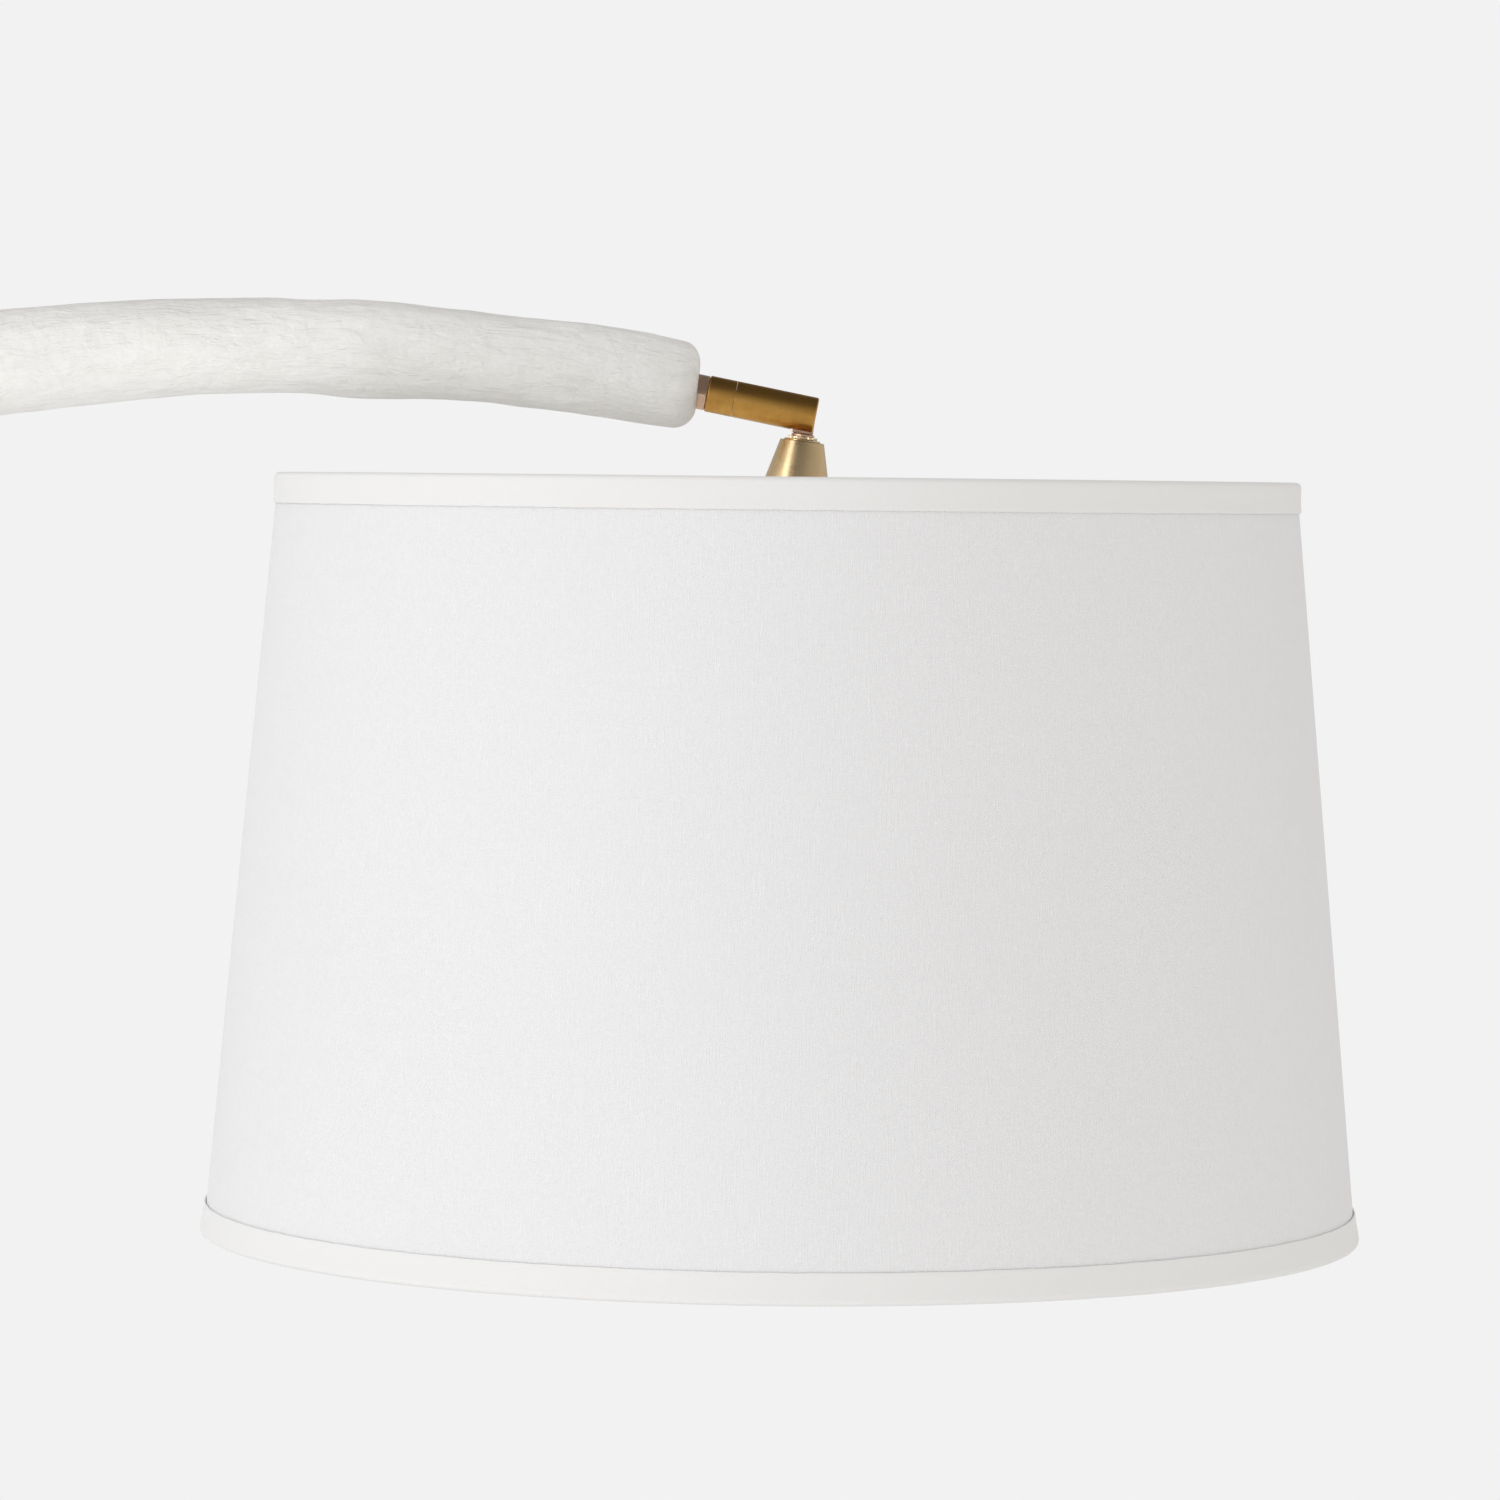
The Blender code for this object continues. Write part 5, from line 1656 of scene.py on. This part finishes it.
    def socket(self) -> None:
        """The moulded socket: body, shoulder and threaded skirt round an open mouth."""
        upper = [
            (2.6 * MM, -36.3 * MM),
            (13.4 * MM, -36.3 * MM, 0.6 * MM),
            (17.8 * MM, -56.7 * MM),
            (17.8 * MM, -57.3 * MM),
            (22.0 * MM, -57.3 * MM, 0.4 * MM),
            (22.0 * MM, -59.3 * MM, 0.4 * MM),
            (self.skirt_radius, -59.3 * MM),
        ]
        rings = [circle(radius, z, self.round_sides) for radius, z in filleted(upper, loop=False)]
        rings += self.thread(self.skirt_radius, 60.5 * MM, 79.0 * MM, 2.6 * MM, 0.6 * MM)
        lower = [
            (18.9 * MM, -79.6 * MM),
            (18.4 * MM, -80.0 * MM),
            (14.7 * MM, -80.0 * MM, 0.4 * MM),
            (14.7 * MM, -46.0 * MM),
            (2.6 * MM, -46.0 * MM),
        ]
        rings += [circle(radius, z, self.round_sides) for radius, z in filleted(lower, loop=False)]
        piece = Skin("socket_moulding", rings, joined=True).build(self.places.head_axes)
        start = Vector((0, -9 * MM, -self.switch_drop))
        drill(piece, 2.3 * MM, start, Vector((0, -18 * MM, -self.switch_drop)), 24)
        self.dresser.dress(piece, "socket_black", Body.HEAD, "socket_body")

    def shell(self) -> None:
        """The threaded brass shell inside the socket."""
        outer, inner = (
            self.thread(radius, 48.0 * MM, 78.0 * MM, self.bulb_pitch, 0.3 * MM)
            for radius in (14.35 * MM, 13.75 * MM)
        )
        piece = Skin("threaded_shell", outer + inner[::-1], joined=True).build(self.places.head_axes)
        self.dresser.dress(piece, "aged_brass", Body.HEAD, "screw_shell")

    def ring_nut(self) -> None:
        """The knurled ring that carries the shade."""
        inner, outer = 19.7 * MM, 24.0 * MM
        points = [
            (inner, -68.0 * MM),
            (outer - 0.8 * MM, -68.0 * MM, 0.3 * MM),
            (outer, -68.9 * MM, 0.3 * MM),
            (outer, -73.0 * MM, 0.5 * MM),
            (inner, -73.0 * MM),
        ]

        def knurl(angle: float, radius: float, height: float) -> float:
            """Shallow scallops round the rim."""
            return -0.35 * MM * (0.5 + 0.5 * cos(angle * 36)) if radius > 23.5 * MM else 0.0

        piece = turned("shade_ring", points, self.places.head_axes, 288, relief=knurl)
        self.dresser.dress(piece, "socket_black", Body.HEAD, "shade_ring_nut")

    def switch(self) -> None:
        """The switch's shaft and its fluted knob."""
        shaft = [
            (0.0, 28.0 * MM),
            (2.0 * MM, 28.0 * MM, 0.2 * MM),
            (2.0 * MM, 9.3 * MM, 0.2 * MM),
            (0.0, 9.3 * MM),
        ]
        piece = turned("switch_stem", shaft, self.places.switch_axes, 48, solid=True)
        self.dresser.dress(piece, "bright_steel", Body.SWITCH, "switch_shaft")
        knob = [
            (0.0, 28.3 * MM),
            (2.3 * MM, 28.3 * MM),
            (2.3 * MM, 18.6 * MM),
            (4.4 * MM, 18.6 * MM, 0.3 * MM),
            (5.2 * MM, 20.0 * MM, 0.6 * MM),
            (5.2 * MM, 30.2 * MM, 0.8 * MM),
            (3.6 * MM, 31.0 * MM, 0.3 * MM),
            (2.0 * MM, 30.7 * MM, 0.5 * MM),
            (0.0, 30.7 * MM),
        ]

        def flutes(angle: float, radius: float, height: float) -> float:
            """Flutes down the knob's grip."""
            return -0.45 * MM * (0.5 + 0.5 * cos(angle * 12)) if radius > 4.9 * MM else 0.0

        piece = turned("fluted_knob", knob, self.places.switch_axes, 144, solid=True, relief=flutes)
        self.dresser.dress(piece, "aged_brass", Body.SWITCH, "switch_knob")

    def bulb(self) -> None:
        """The bulb's threaded cap and frosted glass."""
        top = [(8.5, 50.0), (9.5, 50.1), (11.6, 51.6), (12.4, 52.8)]
        rings = [circle(radius * MM, -d * MM, self.round_sides) for radius, d in top]
        rings += self.thread(13.1 * MM, 53.2 * MM, 73.5 * MM, self.bulb_pitch, 0.75 * MM)
        lower = [(12.9, 74.2), (12.9, 76.3), (12.5, 76.3), (12.2, 73.0), (12.0, 54.0), (8.5, 50.8)]
        rings += [circle(radius * MM, -d * MM, self.round_sides) for radius, d in lower]
        cap = Skin("bulb_screw_cap", rings, joined=True).build(self.places.head_axes)
        self.dresser.dress(cap, "bright_steel", Body.HEAD, "bulb_cap")
        centre, radius, neck = 130 * MM, 30 * MM, 12.5 * MM
        outer: Outline = []
        for i in range(25):
            angle = pi / 2 * i / 24
            outer.append((radius * sin(angle), -centre - radius * cos(angle)))
        for i in range(1, 31):
            part = i / 30
            blend = smooth_step(part)
            outer.append((lerp(radius, neck, blend), -lerp(centre, 76.6 * MM, part)))
        wall = 0.8 * MM
        inner = [(max(reach - wall, 0.0), z + (wall if z < -centre else 0.0)) for reach, z in outer]
        inner[0] = (0.0, outer[0][1] + wall)
        profile = outer + inner[::-1]
        glass = turned("bulb_envelope", profile, self.places.head_axes, self.round_sides, solid=True)
        self.dresser.dress(glass, "frosted_glass", Body.HEAD, "bulb_glass")


# --------------------------------------------------------------------------------------------
# Shade: linen, liner, trims and spider
# --------------------------------------------------------------------------------------------
@dataclass
class Shade:
    """The tapered drum. Heights run down from its top rim, so they are negative."""

    places: Places
    dresser: Dresser
    sides: int = 288
    rim_fold: float = 2.0 * MM
    trim_proud: float = 1.9 * MM
    fabric: float = 0.6 * MM
    liner: float = 0.8 * MM
    lap: float = 9.0 * MM
    hub_bore: float = 20.7 * MM
    rod_radius: float = 1.5 * MM
    height: float = field(init=False)
    top_radius: float = field(init=False)
    bottom_radius: float = field(init=False)

    def __post_init__(self) -> None:
        """Read the shade's size from its boxes."""
        low, high = node_box("shade_fabric")
        top_low, top_high = node_box("top_trim")
        self.height = top_high.z - node_box("bottom_trim")[0].z
        span = high.z - low.z
        wide = (high.y - low.y) / 2
        narrow = (top_high.y - top_low.y) / 2 - self.trim_proud
        taper = (wide - narrow) / (span + self.rim_fold)
        self.top_radius = narrow
        self.bottom_radius = narrow + taper * self.height

    def radius(self, height: float) -> float:
        """The linen's outer radius at a height."""
        return lerp(self.top_radius, self.bottom_radius, -height / self.height)

    def build(self) -> None:
        """Make the shade's pieces."""
        linen = self.wall("linen_skin", 0.0, self.fabric, 0.35 * MM)
        self.dresser.dress(linen, "linen", Body.HEAD, "shade_fabric")
        liner = self.wall("liner_skin", self.fabric + 0.3 * MM, self.liner, 0.0)
        self.dresser.dress(liner, "shade_liner", Body.HEAD, "shade_liner")
        top = self.trim("top_band", 0.0, -1, 3.0)
        self.dresser.dress(top, "linen_tape", Body.HEAD, "top_trim")
        bottom = self.trim("bottom_band", -self.height, 1, 11.0)
        self.dresser.dress(bottom, "linen_tape", Body.HEAD, "bottom_trim")
        self.spider()

    def wall(self, name: str, inset: float, thick: float, lap_height: float) -> bpy.types.Object:
        """Make a thin conical wall, with a lapped seam at the back.

        Args:
            name: the piece's name.
            inset: how far its outer face is inside the linen's.
            thick: how thick it is.
            lap_height: how far the lap stands out.

        Returns:
            The new object.
        """
        rows = 24
        top, low = -self.rim_fold, -self.height + self.rim_fold
        heights = [lerp(top, low, i / rows) for i in range(rows + 1)]
        rings = []
        for z, inward in [(z, inset) for z in heights] + [(z, inset + thick) for z in reversed(heights)]:
            radius = self.radius(z) - inward
            ring = circle(radius, z, self.sides)
            for i, point in enumerate(ring):
                angle = TURN * i / self.sides
                away = (angle - pi / 2) * radius
                raised = lap_height * smooth_step((self.lap - abs(away)) / (0.25 * self.lap))
                sway = 0.12 * MM * wobble(cos(angle) * 3, sin(angle) * 3, z * 12)
                if inward == inset:
                    point.xy *= 1 + (raised + sway) / radius
                else:
                    point.xy *= 1 + sway / radius
            rings.append(ring)
        spans = [*heights, *reversed(heights), heights[0]]
        mean = self.bottom_radius
        return Skin(
            name, rings, joined=True, flat=lambda row, col: (spans[row], mean * TURN * col / self.sides)
        ).build(self.places.shade_axes)

    def trim(self, name: str, rim: float, inward: int, seed: float) -> bpy.types.Object:
        """Make the tape folded over a rim.

        Args:
            name: the piece's name.
            rim: the rim's height.
            inward: -1 where the shade hangs below the rim, or 1 above it.
            seed: a shift for its unevenness.

        Returns:
            The new object.
        """
        # distance out from the linen, and distance in from the rim, both in millimetres
        knots = (
            (0.3, 13.0),
            (0.6, 13.35),
            (1.0, 12.9),
            (1.2, 8.0),
            (1.7, 3.6),
            (1.6, 1.3),
            (0.2, 0.15),
            (-2.2, 0.05),
            (-4.6, 0.6),
            (-6.2, 2.2),
            (-6.5, 4.2),
            (-6.45, 5.7),
            (-6.05, 6.0),
            (-5.75, 5.4),
            (-5.7, 3.0),
            (-4.6, 1.5),
            (-2.4, 0.8),
            (0.1, 1.1),
            (0.4, 3.4),
            (0.4, 8.0),
        )
        section = spline([Vector((out, depth, 0)) for out, depth in knots], 3, loop=True)
        sides = self.sides * 2
        rings = []
        lengths = [0.0]
        for near, far in zip(section, [*section[1:], section[0]]):
            lengths.append(lengths[-1] + (far - near).length * MM)
        for point in section:
            out, depth = point.x * MM, point.y * MM
            ring = []
            for i in range(sides):
                angle = TURN * i / sides
                c, s = cos(angle), sin(angle)
                edge = smooth_step((depth - 6.5 * MM) / (6 * MM))
                pucker = smooth_step((-out - 4.0 * MM) / (2 * MM))
                z = rim + inward * (depth + 0.22 * MM * edge * wobble(c * 22, s * 22, seed))
                ripple = 0.16 * MM * pucker * wobble(c * 75, s * 75, depth * 150 + seed)
                body = 0.10 * MM * wobble(c * 12, s * 12, seed + depth * 60)
                away = abs((angle - pi / 2) * self.top_radius)
                lap = 0.3 * MM * smooth_step((6 * MM - away) / (1.2 * MM)) * (1 if out > 0.9 * MM else 0)
                radius = self.radius(z) + out + ripple + body + lap
                ring.append(Vector((radius * c, radius * s, z)))
            rings.append(ring)

        def flat(row: int, col: int) -> tuple[float, float]:
            """Lay the tape out across and round the rim."""
            return lengths[row], self.top_radius * TURN * col / sides

        return Skin(name, rings, joined=True, flat=flat).build(self.places.shade_axes)

    def spider(self) -> None:
        """The hub ring and the three arms, welded with small beads."""
        low, high = node_box("spider_hub")
        middle = (low + high) / 2
        radius = (high.x - low.x) / 2
        half = (high.z - low.z) / 2
        axes = Matrix.Translation(middle)
        points = [
            (self.hub_bore, half, 0.3 * MM),
            (radius, half, 0.4 * MM),
            (radius, -half, 0.4 * MM),
            (self.hub_bore, -half, 0.3 * MM),
        ]
        self.dresser.dress(turned("hub_ring", points, axes, 144), "white_wire", Body.HEAD, "spider_hub")
        hub = middle.z - self.places.shade_top.z
        wire = self.radius(-3.8 * MM) - 3.8 * MM
        end = -5.7 * MM
        for number in (1, 2, 3):
            low, high = node_box(f"spider_arm_{number}")
            centre = (low + high) / 2 - self.places.shade_top
            out = Vector((centre.x, centre.y, 0)).normalized()
            knots = [
                (radius + 0.2 * MM, hub),
                (60 * MM, hub),
                (190 * MM, hub + 9 * MM),
                (210 * MM, hub + 14 * MM),
                (wire - 0.6 * MM, end - 8 * MM),
                (wire, end),
            ]
            path = spline([out * reach + Vector((0, 0, z)) for reach, z in knots], 12)
            total = len(path) - 1
            radii = []
            for i in range(total + 1):
                bead = 0.55 * MM * smooth_step(1 - min(i, total - i) / 2.5)
                radii.append(self.rod_radius + bead + 0.02 * MM * wobble(i * 0.7, number, 0))
            arm = tube(f"spider_rod_{number}", path, radii, 24).build(self.places.shade_axes)
            self.dresser.dress(arm, "white_wire", Body.HEAD, f"spider_arm_{number}")


# --------------------------------------------------------------------------------------------
# Studio: floor, light and camera
# --------------------------------------------------------------------------------------------
@dataclass
class Studio:
    """A pale floor, soft light from the left, and the camera."""

    places: Places
    backdrop: float = 0.8879  # linear value of the pale paper
    lens: float = 149.1
    distance: float = 2.74
    pitch: float = radians(2.433)
    roll: float = radians(0.62)
    floor_radius: float = 5.5

    def build(self) -> None:
        """Set the stage."""
        self.floor()
        self.world()
        self.lamp("key", (-3.1, -1.1, 2.2), 2.3, 15.0, shines=True)
        self.lamp("bounce", (-0.2, -2.0, 0.2), 2.4, 10.0, shines=True)
        self.lamp("front", (0.1, -3.4, 1.1), 2.6, 18.0, shines=False)
        self.lamp("rim", (2.9, 0.9, 2.0), 1.4, 19.0, shines=False)
        self.camera()
        scene = bpy.context.scene
        scene.view_settings.view_transform = "Standard"
        scene.view_settings.look = "None"

    def floor(self) -> None:
        """A round paper floor, slightly mottled."""
        bm = bmesh.new()
        bmesh.ops.create_circle(bm, cap_ends=True, segments=160, radius=self.floor_radius)
        mesh = bpy.data.meshes.new("floor")
        bm.to_mesh(mesh)
        bm.free()
        paper = bpy.data.materials.new("floor_paper")
        paper.use_nodes = True
        graph = Graph(paper.node_tree)
        shader = paper.node_tree.nodes["Principled BSDF"]
        shader.inputs["Roughness"].default_value = 0.9
        place = graph.node("ShaderNodeTexCoord").outputs["Object"]
        tone = graph.mix(graph.noise(place, 3.0, 4.0), (0.86, 0.86, 0.855, 1.0), (0.82, 0.82, 0.815, 1.0))
        graph.feed(shader.inputs["Base Color"], tone)
        mesh.materials.append(paper)
        made = bpy.data.objects.new("floor", mesh)
        bpy.context.collection.objects.link(made)

    def world(self) -> None:
        """Flat pale paper to the eye, and a soft room with darker ends for light and gloss."""
        world = bpy.data.worlds.new("studio")
        bpy.context.scene.world = world
        world.use_nodes = True
        graph = Graph(world.node_tree)
        world.node_tree.nodes.clear()
        out = graph.node("ShaderNodeOutputWorld")
        way = graph.node("ShaderNodeSeparateXYZ")
        graph.feed(way.inputs[0], graph.node("ShaderNodeTexCoord").outputs["Generated"])
        side, front, up = way.outputs
        left = graph.ramp(side, -1.0, 1.0, 1.18, 0.55)
        soft = graph.math("MULTIPLY", left, graph.ramp(up, 0.1, 1.0, 1.0, 0.8))
        ends = graph.ramp(graph.math("ABSOLUTE", side), 0.1, 0.7, 0.40, 0.60)
        rise = graph.ramp(side, -0.80, -0.70, 0.0, 1.0)
        fall = graph.ramp(side, -0.60, -0.52, 1.0, 0.0)
        facing = graph.ramp(front, -0.4, -0.2, 5.5, 0.0)
        strip = graph.math("MULTIPLY", graph.math("MULTIPLY", rise, fall), facing)
        sky = graph.ramp(up, 0.2, 0.8, 1.0, 0.16)
        band = graph.math("MULTIPLY", sky, graph.ramp(up, -0.4, 0.05, 1.3, 0.9))
        gloss = graph.math("MULTIPLY", graph.math("ADD", ends, strip), band)
        rays = graph.node("ShaderNodeLightPath").outputs
        light = graph.node("ShaderNodeMix", data_type="FLOAT")
        graph.feed(light.inputs["Factor"], rays["Is Glossy Ray"])
        graph.feed(light.inputs["A"], soft)
        graph.feed(light.inputs["B"], gloss)
        turn = graph.ramp(side, -0.6, 0.7, 0.0, 1.0)
        tint = graph.mix(turn, (0.99, 0.995, 1.0, 1.0), (1.0, 0.965, 0.93, 1.0))
        lit = graph.mix(1.0, tint, light.outputs["Result"], "MULTIPLY")
        paper = (self.backdrop, self.backdrop, self.backdrop, 1.0)
        background = graph.node("ShaderNodeBackground")
        graph.feed(background.inputs["Color"], graph.mix(rays["Is Camera Ray"], lit, paper))
        graph.feed(out.inputs["Surface"], background.outputs[0])

    def lamp(
        self, name: str, offset: tuple[float, float, float], size: float, power: float, shines: bool
    ) -> None:
        """Add a large soft light aimed at the shade.

        Args:
            name: its name.
            offset: its place, from the shade in X and Y and from the floor in Z.
            size: the side of its square.
            power: its power in watts.
            shines: whether glossy surfaces mirror it.
        """
        data = bpy.data.lights.new(name, "AREA")
        data.shape = "SQUARE"
        data.size = size
        data.energy = power
        made = bpy.data.objects.new(name, data)
        aim = self.places.shade_top
        made.location = (aim.x + offset[0], aim.y + offset[1], offset[2])
        made.rotation_euler = (aim - made.location).to_track_quat("-Z", "Y").to_euler()
        made.visible_camera = False
        made.visible_glossy = shines
        bpy.context.collection.objects.link(made)

    def camera(self) -> None:
        """The camera, level with the top rim and a long way off."""
        data = bpy.data.cameras.new("camera")
        data.lens = self.lens
        data.sensor_width = 36.0
        data.clip_end = 100.0
        made = bpy.data.objects.new("camera", data)
        place = self.places.shade_top + Vector((-15.2 * MM, -self.distance, -4.0 * MM))
        aim = Matrix.Rotation(pi / 2 - self.pitch, 4, "X") @ Matrix.Rotation(self.roll, 4, "Z")
        made.matrix_world = Matrix.Translation(place) @ aim
        bpy.context.collection.objects.link(made)
        bpy.context.scene.camera = made


def main() -> None:
    """Build the lamp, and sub-assembly by sub-assembly."""
    logging.basicConfig(level=logging.INFO, format="%(message)s")
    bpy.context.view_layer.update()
    places = Places.read()
    Studio(places).build()
    dresser = Dresser()
    dresser.dress_nodes()
    Stand(places, dresser).build()
    Swivel(places, dresser).build()
    Head(places, dresser).build()
    Shade(places, dresser).build()
    LOG.info("%d pieces made", len(dresser.dressed))


if __name__ == "__main__":
    main()
